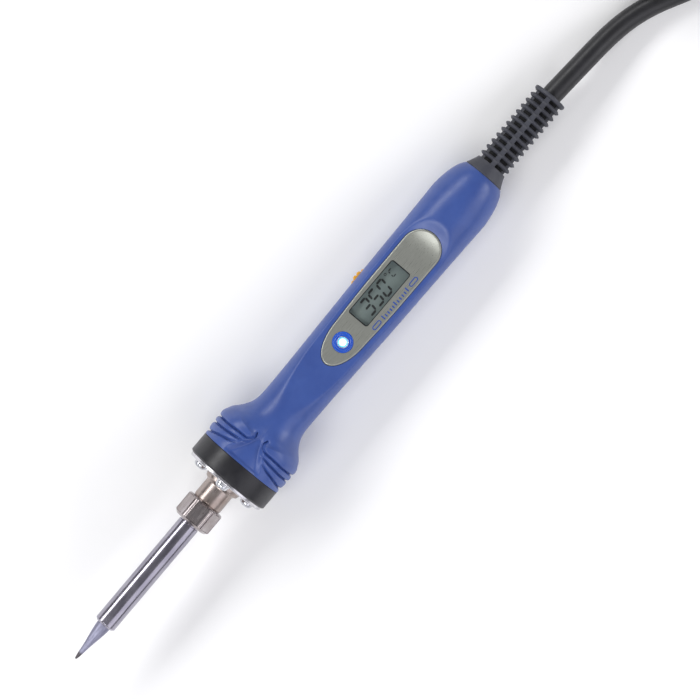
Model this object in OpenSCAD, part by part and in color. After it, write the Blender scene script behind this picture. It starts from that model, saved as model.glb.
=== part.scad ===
// Pencil soldering iron with a built-in temperature control, a digital display and a mains cord.
// Every tool part is drawn with +X running from the tip to the cord, +Y towards the dial and the
// display facing +Z. at_rest() then lays the tool down on its collar and on the end of its grip.

/* [Tip] */
// Length of tip that shows in front of the tube
tip_reach = 15.2; // [12:0.1:20]
// Radius of the tip's round point
tip_point_r = 0.4; // [0.3:0.05:0.8]
// Radius of the tip's hollow barrel
tip_barrel_r = 3.2; // [3.1:0.05:3.3]

/* [Tube and nut] */
// Outer radius of the tube that covers the tip
tube_r = 3.95; // [3.9:0.05:4.0]
// Distance from the tip's point to the front of the nut
nut_x = 61; // [59:0.5:61]
// Length of the nut
nut_len = 8.6; // [8:0.1:8.6]
// Radius over the nut's corners
nut_r = 7.1; // [6.8:0.1:7.5]

/* [Front end] */
// Distance from the tip's point to the front of the metal plate
plate_x = 79.4; // [79.4:0.1:80]
// Radius of the metal plate
plate_r = 15.2; // [14.8:0.1:15.4]
// Radius of the black collar
collar_r = 16; // [15.9:0.1:16.3]
// Radius of the circle that the three plate screws stand on
screw_circle_r = 11.8; // [11.6:0.1:11.9]

/* [Handle] */
// Greatest radius of the finger guard
guard_lobe_r = 16.5; // [16.2:0.1:17]
// Radius of the grip at its thinnest, behind the finger guard
neck_r = 9.8; // [9.7:0.1:10]
// Radius of the grip at its fat end
grip_r = 11.4; // [11.3:0.1:11.8]
// Height of the flat top of the grip above the tool's axis
flat_z = 7.2; // [7.1:0.1:7.8]
// Wall of the two shells
wall = 1.8; // [1.6:0.1:1.9]

/* [Display] */
// Length of the display panel
panel_len = 57.8; // [56:0.2:59]
// Width of the display panel
panel_w = 14.3; // [13.8:0.1:14.4]
// Length of the display window
window_len = 23.6; // [22:0.2:25]
// Width of the display window
window_w = 8.4; // [7.6:0.2:8.8]

/* [Dial] */
// Radius of the temperature dial over its teeth
dial_r = 6; // [5.8:0.1:6.1]
// Number of teeth on the dial
dial_teeth = 18; // [16:1:20]

/* [Cord] */
// Radius of the cord
cord_r = 3.75; // [3.6:0.05:3.8]
// Length of the ribbed cord guard behind the handle
guard_len = 36.2; // [36:0.1:36.4]
// Radius over the ribs of the cord guard
rib_r = 6.4; // [6:0.1:6.6]

/* [Hidden] */
$fn = 48;
gap = 0.1;             // clearance between parts that are fitted by hand
slip = 0.05;           // clearance of a fit

// Front end, along X
tube_mouth_x = tip_reach;
shoulder_x = tube_mouth_x + 1.1;
tip_end_x = 43;
spigot_x = tip_end_x + gap;
nut_end_x = nut_x + nut_len;
thread_x = nut_x + 2.7;
hub_x = plate_x - 2;
collar_x = plate_x + 1.2;
collar_web = 2;
collar_len = 7.6;
shell_x = collar_x + collar_len;
spigot_r = collar_r - 1.1;
base_r = spigot_r - 1.3;
base_x = collar_x + collar_web + gap;
base_len = 7;
heater_r = 1.9;
thread_r = 5.2;
barrel_r = 5.45;
tail_r = 4.5;
spring_bore_r = 3.6;
screw_r = 1.2;

// Handle, along X
lobe_x = 99.7;
neck_x = 110;
grip_end_x = 204;
shell_end_x = 216.8;
shell_end_r = 7.9;
groove_x = [90.7, 93.1, 95.9];
scoop_x = 180;
panel_x = 132.7;
panel_thick = 0.9;
pocket_z = flat_z - panel_thick;
ceiling_z = pocket_z - 1;
valley_floor = 9.8;
panel_end_x = panel_x + panel_len;

// Display and board
window_x = 163.1;
window_y = 1.2;
lamp_x = 142.2;
lamp_ring_r = 3.7;
lamp_r = 1.45;
board_x = 128;
board_end_x = 200;
board_z = 2.2;
board_thick = 1;
board_w = 14.6;

// Dial
dial_x = 162.8;
dial_y = 5.8;
dial_z = -2.2;
dial_thick = 2.9;
shaft_r = 1.5;

// Screws that hold the shells, as [x, y]
shell_screw_at = [[121, 0], [202.8, 6.2], [202.8, -6.2]];
clamp_x = 206.6;
clamp_len = 4.2;
clamp_screw_y = 6.3;

// Cord guard
guard_x = shell_end_x;
guard_end_x = guard_x + guard_len;
slot_pitch = 2.61;
slots = 12;
slot_x = guard_x + 5.3;

// The tool lies on the rear edge of its collar and on the fat end of its grip
tilt = atan((collar_r - grip_r) / (grip_end_x - shell_x));
middle_x = guard_end_x / 2 + (rib_r - tip_point_r) / 2 * tan(tilt);
rest_z = collar_r * cos(tilt) + (shell_x - middle_x) * sin(tilt);

// Free cord: it leaves the guard, comes down to the table and joins the hank's outer lane
cord_route = [
    [126.3, 0, 9.4], [131, -0.25, 9.3], [136, -0.55, 9], [141, -0.85, 8.5], [146, -1.15, 7.8],
    [151, -1.5, 6.9], [156, -2, 6], [161, -2.8, 5.1], [166, -4, 4.4], [171, -5.7, 4], [176, -7.9, 3.8],
    [181, -10.5, 3.8], [186, -13.1, 3.8], [191, -15.6, 3.8], [196, -17.8, 3.8], [201, -19.5, 3.8],
    [206, -20.6, 3.8], [214, -21.1, 3.8]
];
hank_x = 253;
hank_y = 10;
hank_loop_r = 23.5;      // inner lane, round each end
hank_waist_r = 31;       // inner lane, at the waist
hank_waist_y = 3.9;
hank_lane = 2 * cord_r + 0.1;
hank_high = 4 * cord_r + 1;
hank_end_x = sqrt((hank_loop_r - hank_waist_y) * (hank_loop_r + hank_waist_y + 2 * hank_waist_r));
tie_w = 10;
tie_thick = 0.9;

// The cord's far end rises off the hank into the plug, which lies on the hank
lead_route = [
    [195.5, -17, 12.2], [203, -20.2, 13.6], [211, -20.8, 15.8], [219, -19.2, 18.6], [227, -15.8, 21.4],
    [235, -11.4, 24], [243, -7.3, 26], [251, -4.2, 27.2], [259, -2.8, 27.6], [267, -2.6, 27.6]
];
plug_x = 276;
plug_y = -2.6;
plug_z = 27.6;
plug_len = 30;
plug_w = 28;
plug_high = 21;
plug_guard_len = 17;
blade_y = -5;
blade_z = 6.35;
pin_y = blade_y + 11.9;

// ---------- helpers ----------

// Lays the tool down on the table, with its middle over the origin.
module at_rest() {
    translate([0, 0, rest_z]) rotate([0, tilt, 0]) translate([-middle_x, 0, 0]) children();
}

// A solid turned about the tool's axis: points are [x, radius].
module turned(points) {
    rotate([0, 90, 0]) rotate_extrude() polygon([for (p = points) [p[1], p[0]]]);
}

// A rod along X between two places.
module rod(x0, x1, r, y = 0, z = 0) {
    translate([x0, y, z]) rotate([0, 90, 0]) cylinder(r = r, h = x1 - x0);
}

// A block given by its lowest and highest corners.
module block(low, high) {
    translate(low) cube(high - low);
}

// An upright post between two heights.
module post(x, y, z0, z1, r) {
    translate([x, y, z0]) cylinder(r = r, h = z1 - z0);
}

function unit(v) = v / norm(v);

// The direction of a line of points at point i.
function heading(path, i) = unit(path[min(i + 1, len(path) - 1)] - path[max(i - 1, 0)]);

// One closed tube with a ring of corners round each point of a path.
module swept(path, r, sides = 8) {
    rings = len(path);
    corners = [
        for (i = [0:rings - 1])
        let (along = heading(path, i), across = unit(cross([0, 0.05, 1], along)), up = cross(along, across))
        for (k = [0:sides - 1]) path[i] + r * (cos(360 * k / sides) * across + sin(360 * k / sides) * up)
    ];
    faces = [
        [for (k = [0:sides - 1]) k],
        for (i = [0:rings - 2]) for (k = [0:sides - 1])
            let (next = (k + 1) % sides)
            [i * sides + k, (i + 1) * sides + k, (i + 1) * sides + next, i * sides + next],
        [for (k = [sides - 1:-1:0]) (rings - 1) * sides + k]
    ];
    polyhedron(corners, faces, convexity = 6);
}

// The places of the three plate screws: the first one is on the display's side.
module at_plate_screws() {
    for (a = [90, 210, 330]) rotate([a - 90, 0, 0]) translate([0, 0, screw_circle_r]) children();
}

// ---------- tip, tube and nut ----------

module soldering_tip() {
    color("#b9b8c2") turned([
        [0, 0], [0, tip_point_r * 0.5], [tip_point_r * 0.6, tip_point_r], [6.8, 1.35], [7.1, 1.5],
        [tube_mouth_x, 2.6], [shoulder_x + slip, 2.6], [shoulder_x + slip, tip_barrel_r],
        [tip_end_x, tip_barrel_r], [tip_end_x, heater_r + gap], [18.6, heater_r + gap], [17.6, 0]
    ]);
}

module tip_tube() {
    chamfer = 0.8;
    slim_x = nut_x - 0.6;
    flange_x = nut_x + 1.6;
    color("#a9a7ad") turned([
        [tube_mouth_x, 2.75], [tube_mouth_x, tube_r - chamfer], [tube_mouth_x + chamfer, tube_r],
        [slim_x, tube_r], [slim_x, tube_r - 0.25], [flange_x, tube_r - 0.25], [flange_x, 4.9],
        [flange_x + 1, 4.9], [flange_x + 1, tip_barrel_r + 0.2], [shoulder_x, tip_barrel_r + 0.2],
        [shoulder_x, 2.75]
    ]);
}

module tube_nut() {
    front_wall = 1.5;
    flat_r = nut_r - 0.75;
    color("#a39c98") difference() {
        turned([
            [nut_x, tube_r + gap], [nut_x, nut_r - 1.1], [nut_x + 1.1, nut_r], [nut_end_x - 0.4, nut_r],
            [nut_end_x, nut_r - 0.4], [nut_end_x, thread_r + slip], [nut_x + front_wall, thread_r + slip],
            [nut_x + front_wall, tube_r + gap]
        ]);
        for (a = [0:60:300]) rotate([a, 0, 0]) {
            block([nut_x + 0.9, -2.2, flat_r], [nut_end_x - 0.5, 2.2, nut_r + 1]);
            for (side = [-1, 1]) rotate([side * 30 - side * 4.5, 0, 0])
                translate([nut_x - 1, 0, nut_r]) rotate([45, 0, 0]) translate([0, -0.3, -0.3])
                    cube([nut_len + 2, 0.6, 0.6]);
        }
    }
}

// ---------- front end ----------

module nipple() {
    color("#9d958f") turned([
        [spigot_x, 2.15], [spigot_x, tip_barrel_r], [thread_x, tip_barrel_r], [thread_x, thread_r - 0.5],
        [thread_x + 0.5, thread_r], [nut_end_x + 0.3, thread_r], [nut_end_x + 0.3, barrel_r],
        [hub_x - 0.6, barrel_r], [hub_x, 6.6], [plate_x, 7.2], [plate_x, tail_r], [base_x + 1.3, tail_r],
        [base_x + 1.3, spring_bore_r], [thread_x + 3, spring_bore_r], [thread_x + 3, 2.15]
    ]);
}

module ground_spring() {
    turns = 6;
    steps = 14;
    mean_r = 2.85;
    from_x = thread_x + 3.4;
    to_x = base_x - 0.5;
    coil = [
        for (i = [0:turns * steps])
        let (a = 360 * i / steps)
        [from_x + (to_x - from_x) * i / (turns * steps), mean_r * sin(a), mean_r * cos(a)]
    ];
    color("#c9c9cc") swept(coil, 0.28, 6);
}

module front_plate() {
    color("#c4c3c6") difference() {
        turned([[plate_x, tail_r + slip], [plate_x, plate_r - 0.3], [plate_x + 0.3, plate_r],
            [collar_x, plate_r], [collar_x, tail_r + slip]]);
        at_plate_screws() rod(plate_x - 1, collar_x + 1, screw_r + 0.2);
    }
}

module plate_washers() {
    color("#d6d6d8") at_plate_screws() difference() {
        rod(plate_x - 0.6, plate_x, 2.7);
        rod(plate_x - 1, plate_x + 1, screw_r + 0.2);
    }
}

module plate_screws() {
    head_x = plate_x - 0.6;
    color("#dcdcdf") at_plate_screws() difference() {
        union() {
            turned([[head_x - 1.7, 0], [head_x - 1.7, 1.5], [head_x - 1.1, 2.2], [head_x - 0.5, 2.4],
                [head_x, 2.4], [head_x, screw_r], [base_x + 4.5, screw_r], [base_x + 5.5, 0]]);
        }
        for (a = [0, 90]) rotate([a, 0, 0]) block([head_x - 2, -1.4, -0.28], [head_x - 0.8, 1.4, 0.28]);
    }
}

module front_collar() {
    color("#2c2b2f") difference() {
        turned([[collar_x, 5], [collar_x, collar_r - 0.5], [collar_x + 0.5, collar_r], [shell_x, collar_r],
            [shell_x, spigot_r + gap], [collar_x + collar_web, spigot_r + gap], [collar_x + collar_web, 5]]);
        at_plate_screws() rod(collar_x - 1, collar_x + collar_web + 1, screw_r + 0.25);
    }
}

module heater_base() {
    color("#d9cfae") difference() {
        turned([[base_x, tail_r + gap], [base_x, base_r - gap], [base_x + base_len, base_r - gap],
            [base_x + base_len, heater_r + slip], [base_x + 1.5, heater_r + slip],
            [base_x + 1.5, tail_r + gap]]);
        at_plate_screws() rod(base_x - 1, base_x + base_len + 1, screw_r + slip);
    }
}

module heater_rod() {
    color("#f1efe6") rod(19, base_x + base_len, heater_r);
}

// Two leads of one colour from the back of the heater to the connector on the board.
module lead_pair(y, start_z, end_y, r = 0.55) {
    x0 = base_x + base_len;
    for (side = [-1, 1]) swept([
        [x0, side * 1.2, start_z], [x0 + 2, side * 1.2, start_z], [x0 + 7, side * y, start_z],
        [board_x - 4, side * y, start_z], [board_x - 1, side * end_y, 0.2], [board_x + 1, side * end_y, 0.2]
    ], r);
}

module heater_leads() {
    color("#b53a2e") lead_pair(5.2, 1, 4.8);
}

module sensor_leads() {
    color("#3d62b5") lead_pair(3.6, -1, 3.2);
}

// ---------- handle shells ----------

// Outer outline of the handle, as [x, radius], from the collar to the cord guard.
function round_end(turns = 8) = [
    for (i = [0:turns])
    let (a = 90 * i / turns, u = sin(a), v = cos(a))
    [grip_end_x + (shell_end_x - grip_end_x) * u, shell_end_r + (grip_r - shell_end_r) * v]
];

function guard_slope(steps = 7) = [
    for (i = [0:steps])
    let (u = i / steps)
    [lobe_x + (neck_x - lobe_x) * u, neck_r + (guard_lobe_r - neck_r) * (1 - u) * (1 - u)]
];

module handle_solid() {
    difference() {
        turned([
            [shell_x, 0], [shell_x, collar_r], [lobe_x - 3, guard_lobe_r], for (p = guard_slope()) p,
            [157, (neck_r + grip_r) / 2 + 0.1], for (p = round_end()) p, [shell_end_x, 0]
        ]);
        for (x = groove_x) turned([[x - 0.6, collar_r + 2], [x, collar_r - 0.5], [x + 0.6, collar_r + 2]]);
        top_cut();
        for (side = [0, 180]) rotate([side, 0, 0]) valley_cut();
    }
}

// Takes the top of the grip off flat, and lets the cut rise out again behind the display.
module top_cut() {
    scoop_r = 28;
    rotate([90, 0, 0]) translate([0, 0, -20]) linear_extrude(height = 40) polygon([
        [lobe_x + 2, 24], [neck_x - 1, neck_r + 0.6], [neck_x + 6, flat_z + 0.6], [neck_x + 14, flat_z],
        for (a = [0:5:30]) [scoop_x + scoop_r * sin(a), flat_z + scoop_r * (1 - cos(a))],
        [scoop_x + 18, 24]
    ]);
}

// The hollow between the two lobes of the finger guard, for the thumb.
module valley_cut() {
    valley_r = 7;
    translate([shell_x - 1, 0, collar_r - 0.6 + valley_r]) rotate([0, 90 + 17, 0])
        cylinder(r = valley_r, h = 30);
}

module handle_hollow() {
    intersection() {
        turned([
            [shell_x - 6, 0], [shell_x - 6, base_r], [lobe_x - 5, base_r], [neck_x - 4, neck_r - wall],
            [neck_x + 10, neck_r - wall], [grip_end_x, grip_r - wall - 0.2], [209, grip_r - wall - 0.6],
            [214.6, grip_r - 3.6], [214.6, 0]
        ]);
        union() {
            block([shell_x - 8, -20, -20], [base_x + base_len + 0.2, 20, 20]);
            block([base_x + base_len, -20, -valley_floor], [neck_x, 20, valley_floor]);
            block([neck_x - 1, -20, -20], [shell_end_x, 20, ceiling_z]);
            block([grip_end_x + 1, -20, -20], [shell_end_x, 20, 20]);
        }
    }
}

module spigot() {
    turned([[base_x, base_r], [base_x, spigot_r], [shell_x, spigot_r], [shell_x, base_r]]);
}

module dial_slot() {
    post(dial_x, dial_y, dial_z - 0.4, dial_z + dial_thick + 0.4, dial_r + 0.4);
}

// Everything that both shells share, above or below the joint between them.
module half_handle(low_z, high_z) {
    intersection() {
        difference() {
            union() {
                handle_solid();
                spigot();
            }
            handle_hollow();
            rod(214, shell_end_x + 1, 6.1);
            dial_slot();
        }
        block([base_x - 1, -20, low_z], [shell_end_x + 1, 20, high_z]);
    }
}

// Plan of the display panel: round at the back, and drawn out to a blunt nose at the front.
module panel_plan(inset = 0) {
    tail_r = panel_w / 2 - inset;
    tail_x = panel_end_x - panel_w / 2;
    nose = 15;
    steps = 10;
    polygon([
        for (i = [-steps:steps])
        let (a = 90 * i / steps)
        [panel_x + inset + nose * (1 - cos(a)), tail_r * 0.93 * sin(a)],
        [window_x + 8, tail_r * 0.97],
        for (i = [0:2 * steps])
        let (a = 90 - 90 * i / steps)
        [tail_x + (panel_w / 2 - inset) * cos(a), tail_r * sin(a)],
        [window_x + 8, -tail_r * 0.97]
    ]);
}

module window_plan(grow = 0) {
    r = 1;
    half = [window_len / 2 - r, window_w / 2 - r];
    translate([window_x, window_y]) union() {
        square([window_len + 2 * grow, 2 * half[1]], center = true);
        square([2 * half[0], window_w + 2 * grow], center = true);
        for (sx = [-1, 1]) for (sy = [-1, 1]) translate([sx * half[0], sy * half[1]])
            circle(r = r + grow, $fn = 32);
    }
}

module upper_shell() {
    color("#3c57a8") difference() {
        union() {
            half_handle(0, 20);
            for (p = shell_screw_at) post(p[0], p[1], 0.6, ceiling_z + 0.4, 2);
        }
        for (p = shell_screw_at) post(p[0], p[1], -1, 5, 0.95);
        translate([0, 0, pocket_z]) linear_extrude(height = 8) panel_plan(-slip);
        translate([0, 0, ceiling_z - 1]) linear_extrude(height = 8) window_plan(slip);
        post(lamp_x, 0, ceiling_z - 1, pocket_z + 1, 2);
    }
}

module lower_shell() {
    color("#3c57a8") difference() {
        union() {
            half_handle(-20, 0);
            for (p = shell_screw_at) post(p[0], p[1], p[1] == 0 ? -9 : -7.1, 0.5, 2.6);
            block([clamp_x, -8, -6.8], [clamp_x + clamp_len, 8, -slip]);
        }
        for (p = shell_screw_at) {
            post(p[0], p[1], -20, 1, 1.15);
            post(p[0], p[1], -20, -5, 2);
        }
        rod(clamp_x - 1, clamp_x + clamp_len + 1, cord_r + slip);
        for (side = [-1, 1]) post(clamp_x + clamp_len / 2, side * clamp_screw_y, -5, 1, 0.95);
    }
}

module shell_screws() {
    color("#8c8c90") for (p = shell_screw_at) difference() {
        union() {
            post(p[0], p[1], -6.6, -5, 1.9);
            post(p[0], p[1], -5, 4.5, 0.9);
        }
        for (a = [0, 90]) translate([p[0], p[1], -6.2]) rotate([0, 0, a]) cube([2.4, 0.5, 1], center = true);
    }
}

// ---------- display ----------

module display_panel() {
    color("#9c9a8e") difference() {
        intersection() {
            translate([0, 0, pocket_z]) linear_extrude(height = 8) panel_plan(0);
            difference() {
                block([panel_x - 1, -20, 0], [panel_end_x + 1, 20, 20]);
                top_cut();
            }
        }
        translate([0, 0, pocket_z - 1]) linear_extrude(height = 8) window_plan(slip);
        post(lamp_x, 0, pocket_z - 1, flat_z + 1, lamp_ring_r + slip);
    }
}

module display_window() {
    color("#8f9c94") translate([0, 0, ceiling_z + 0.2])
        linear_extrude(height = flat_z - 0.1 - ceiling_z - 0.2) window_plan(0);
}

module lcd_glass() {
    color("#75827b") block([window_x - 13.4, window_y - 5.2, board_z + board_thick + 1],
        [window_x + 13.4, window_y + 5.2, ceiling_z - gap]);
}

module lcd_contacts() {
    color("#d8a4a8") for (side = [-1, 1])
        block([window_x - 12, window_y + side * 4.3 - 0.7, board_z + board_thick],
            [window_x + 12, window_y + side * 4.3 + 0.7, board_z + board_thick + 1]);
}

module indicator_ring() {
    color("#1d4fb0") translate([lamp_x, 0, 0]) rotate_extrude() polygon([
        [lamp_r + slip, pocket_z], [lamp_ring_r, pocket_z], [lamp_ring_r, flat_z - 0.1],
        [lamp_ring_r - 0.2, flat_z + 0.1], [lamp_r + slip, flat_z + 0.1]
    ]);
}

module indicator_lens() {
    color("#bfe8ff") translate([lamp_x, 0, 0]) rotate_extrude() polygon([
        [0, ceiling_z + 0.6], [lamp_r, ceiling_z + 0.6], [lamp_r, flat_z + 0.1],
        [lamp_r - 0.4, flat_z + 0.3],
        [0, flat_z + 0.5]
    ]);
}

module indicator_led() {
    color("#dff1fb") translate([lamp_x, 0, board_z + board_thick]) union() {
        cylinder(r = 1.7, h = 0.8);
        cylinder(r = 1.4, h = 2.2);
    }
}

// ---------- board and what is on it ----------

module circuit_board() {
    color("#2f7a4a")
        block([board_x, -board_w / 2, board_z], [board_end_x, board_w / 2, board_z + board_thick]);
}

module control_chip() {
    chip = [144, -5.4, board_z - 1.7];
    color("#232326") union() {
        block(chip, chip + [10, 4, 1.5]);
        for (i = [0:6]) block(chip + [0.9 + 1.27 * i, -0.9, 1], chip + [1.3 + 1.27 * i, 4.9, 1.7]);
    }
}

module triac() {
    color("#2b2b2e") intersection() {
        post(173.6, -3.4, -3, board_z, 2.4);
        block([171, -5, -3], [176.2, 0, board_z]);
    }
}

module film_capacitor() {
    color("#b9862f") block([178, -5.2, -4.6], [190, 2.4, board_z]);
}

module fuse() {
    color("#c8d0cf") union() {
        rod(146, 152, 1.2, 3.4, board_z - 1.3);
        for (x = [145.2, 151.6]) block([x, 2.4, board_z - 2.6], [x + 1.2, 4.4, board_z]);
    }
}

module heater_connector() {
    color("#e9e4d6") block([board_x + 1, -5.6, -1.6], [board_x + 6, 5.6, board_z]);
}

module mains_terminal() {
    color("#3f6fa0") block([193, -4.4, -2.6], [198.6, 4.4, board_z]);
}

// ---------- dial ----------

module dial_potentiometer() {
    color("#2e3440") difference() {
        block([dial_x - 4.5, 0.6, dial_z + dial_thick + gap], [dial_x + 4.5, 8.3, board_z]);
        post(dial_x, dial_y, -5, board_z - 0.3, shaft_r + slip);
    }
}

module dial_shaft() {
    color("#c7c7c9") post(dial_x, dial_y, dial_z, board_z - 0.4, shaft_r);
}

module temperature_dial() {
    valley = 0.55;
    color("#e3a51f") difference() {
        post(dial_x, dial_y, dial_z, dial_z + dial_thick, dial_r);
        post(dial_x, dial_y, dial_z - 1, dial_z + dial_thick + 1, shaft_r + 0.02);
        for (i = [0:dial_teeth - 1]) translate([dial_x, dial_y, 0])
            rotate([0, 0, 360 * (i + 0.5) / dial_teeth])
                post(dial_r + 0.15, 0, dial_z - 1, dial_z + dial_thick + 1, valley);
    }
}

// ---------- cord entry ----------

module mains_leads() {
    tails = [[1.7, "#2d4ea8"], [-1.7, "#7a4a2a"]];
    for (t = tails) color(t[1]) swept([[204, t[0], 0], [202.6, t[0], 0], [200, t[0] * 1.3, -0.6],
        [198.6, t[0] * 1.3, -0.6]], 0.9);
}

module cord_clamp() {
    color("#b7b7ba") difference() {
        union() {
            intersection() {
                rod(clamp_x, clamp_x + clamp_len, cord_r + 1.1);
                block([clamp_x, -9, 0], [clamp_x + clamp_len, 9, 9]);
            }
            block([clamp_x, -7.8, 0], [clamp_x + clamp_len, 7.8, 1.2]);
        }
        rod(clamp_x - 1, clamp_x + clamp_len + 1, cord_r + slip);
        for (side = [-1, 1]) post(clamp_x + clamp_len / 2, side * clamp_screw_y, -1, 2, 1.05);
    }
}

module clamp_screws() {
    color("#8c8c90") for (side = [-1, 1]) union() {
        post(clamp_x + clamp_len / 2, side * clamp_screw_y, 1.2, 2.3, 1.4);
        post(clamp_x + clamp_len / 2, side * clamp_screw_y, -4.5, 1.2, 0.9);
    }
}

module cord_guard() {
    slot_half = 0.65;
    core_r = 4.7;
    teeth = [
        for (i = [0:slots - 1])
        let (x = slot_x + slot_pitch * i)
        each [[x - slot_half, core_r], [x + slot_half, core_r], [x + slot_half, rib_r - 0.7],
            [x + slot_pitch / 2, rib_r], [x + slot_pitch - slot_half, rib_r - 0.7]]
    ];
    last_x = slot_x + slot_pitch * (slots - 1) + slot_half;
    color("#3d3c42") difference() {
        union() {
            turned([
                [guard_x - 4.6, cord_r + slip], [guard_x - 4.6, 7.4], [guard_x - 2.3, 7.4],
                [guard_x - 2.3, 6],
                [guard_x, 6], [guard_x, shell_end_r], [guard_x + 4.2, 5.8], [slot_x - slot_half, 5.8],
                for (i = [0:len(teeth) - 4]) teeth[i],
                [last_x, rib_r - 0.2], [guard_end_x - 0.5, rib_r - 0.2], [guard_end_x, rib_r - 0.7],
                [guard_end_x, cord_r + slip]
            ]);
            for (side = [-1, 1]) block([guard_x + 4.2, -1.3, side > 0 ? core_r - 0.8 : -rib_r + 0.5],
                [guard_end_x - 1, 1.3, side > 0 ? rib_r - 0.5 : -core_r + 0.8]);
        }
        rod(guard_x - 6, guard_end_x + 1, cord_r + slip);
    }
}

module inner_cord() {
    color("#1f1f22") rod(204, guard_end_x, cord_r);
}

// ---------- free cord and plug ----------

module cord_run() {
    color("#1f1f22") swept(cord_route, cord_r, 10);
}

module tie_ring(grow = 0) {
    half_y = hank_waist_y + hank_lane + cord_r;
    translate([-tie_w / 2, 0, 0]) difference() {
        block([0, -half_y - tie_thick, 0], [tie_w, half_y + tie_thick, hank_high + tie_thick]);
        block([-1, -half_y + grow, tie_thick + grow], [tie_w + 1, half_y - grow, hank_high - grow]);
    }
}

// Outer shape of the folded cord: round at both ends and pulled in at the waist.
function hank_outline(steps = 14) =
    let (
        reach = hank_loop_r + hank_lane + cord_r,
        hollow_r = hank_waist_r - hank_lane - cord_r,
        hollow_y = hank_waist_y + hank_waist_r,
        meet = atan(hollow_y / hank_end_x)
    )
    [
        for (side = [1, -1]) each [
            for (i = [0:2 * steps]) let (a = (180 - meet) * (i / steps - 1))
                side * [hank_end_x + reach * cos(a), reach * sin(a)],
            for (i = [1:steps - 1]) let (a = -meet - (180 - 2 * meet) * i / steps)
                side * [hollow_r * cos(a), hollow_y + hollow_r * sin(a)]
        ]
    ];

module cord_hank() {
    color("#1f1f22") translate([hank_x, hank_y, 0]) difference() {
        linear_extrude(height = hank_high) polygon(hank_outline());
        tie_ring(0.1);
    }
}

module hank_tie() {
    color("#2a2a2c") translate([hank_x, hank_y, 0]) tie_ring();
}

module plug_lead() {
    color("#1f1f22") swept(lead_route, cord_r, 10);
}

module at_plug() {
    translate([plug_x, plug_y, plug_z]) children();
}

module plug_body() {
    color("#222225") at_plug() intersection() {
        block([0, -plug_w / 2, -plug_high / 2], [plug_len, plug_w / 2, plug_high / 2]);
        rotate([45, 0, 0]) block([-1, -15.6, -15.6], [plug_len + 1, 15.6, 15.6]);
        turned([[0, 0], [0, 8.5], [12, 16.5], [plug_len, 16.5], [plug_len, 0]]);
    }
}

module plug_guard() {
    color("#222225") at_plug() difference() {
        turned([[-plug_guard_len, 0], [-plug_guard_len, cord_r + 1], [0, 6], [0, 0]]);
        rod(-plug_guard_len - 1, -8, cord_r + slip);
    }
}

module plug_blades() {
    color("#c9b27c") at_plug() for (side = [-1, 1]) difference() {
        block([plug_len, blade_y - 3.15, side * blade_z - 0.75],
            [plug_len + 17, blade_y + 3.15, side * blade_z + 0.75]);
        post(plug_len + 13, blade_y, side * blade_z - 2, side * blade_z + 2, 1.6);
    }
}

module plug_ground_pin() {
    color("#c9b27c") at_plug() union() {
        rod(plug_len, plug_len + 17.6, 2.4, pin_y);
        translate([plug_len + 17.6, pin_y, 0]) sphere(r = 2.4);
    }
}

// ---------- the nodes ----------

at_rest() soldering_tip();
at_rest() tip_tube();
at_rest() tube_nut();
at_rest() nipple();
at_rest() ground_spring();
at_rest() front_plate();
at_rest() plate_washers();
at_rest() plate_screws();
at_rest() front_collar();
at_rest() heater_base();
at_rest() heater_rod();
at_rest() heater_leads();
at_rest() sensor_leads();
at_rest() upper_shell();
at_rest() lower_shell();
at_rest() shell_screws();
at_rest() display_panel();
at_rest() display_window();
at_rest() lcd_glass();
at_rest() lcd_contacts();
at_rest() indicator_ring();
at_rest() indicator_lens();
at_rest() indicator_led();
at_rest() circuit_board();
at_rest() control_chip();
at_rest() triac();
at_rest() film_capacitor();
at_rest() fuse();
at_rest() heater_connector();
at_rest() mains_terminal();
at_rest() dial_potentiometer();
at_rest() dial_shaft();
at_rest() temperature_dial();
at_rest() mains_leads();
at_rest() cord_clamp();
at_rest() clamp_screws();
at_rest() cord_guard();
at_rest() inner_cord();
cord_run();
cord_hank();
hank_tie();
plug_lead();
plug_guard();
plug_body();
plug_blades();
plug_ground_pin();
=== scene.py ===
"""The looks of a pencil soldering iron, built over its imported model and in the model's own frame.

Sizes are millimetres of the tool's own axes, as in the part's source: x runs from the tip's point to
the cord, y towards the dial and z out of the display. REST lays the tool on the table, in metres.
"""

import math

import bmesh
import bpy
from mathutils import Matrix, Vector, geometry


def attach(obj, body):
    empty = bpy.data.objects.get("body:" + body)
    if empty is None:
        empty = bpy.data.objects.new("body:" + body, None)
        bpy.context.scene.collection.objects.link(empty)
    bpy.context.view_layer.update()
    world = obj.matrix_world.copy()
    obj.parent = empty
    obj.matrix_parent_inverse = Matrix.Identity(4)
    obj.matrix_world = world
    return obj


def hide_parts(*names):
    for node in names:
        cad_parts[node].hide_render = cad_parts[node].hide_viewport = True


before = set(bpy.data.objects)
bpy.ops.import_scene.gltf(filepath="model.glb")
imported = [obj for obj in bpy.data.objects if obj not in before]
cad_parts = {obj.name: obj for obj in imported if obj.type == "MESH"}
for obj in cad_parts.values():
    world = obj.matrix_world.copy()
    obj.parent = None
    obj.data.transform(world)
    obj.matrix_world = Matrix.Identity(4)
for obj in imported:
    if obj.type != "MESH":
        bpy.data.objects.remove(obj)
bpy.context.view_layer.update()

# ---------- driving dimensions, as in the part's source ----------

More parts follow.
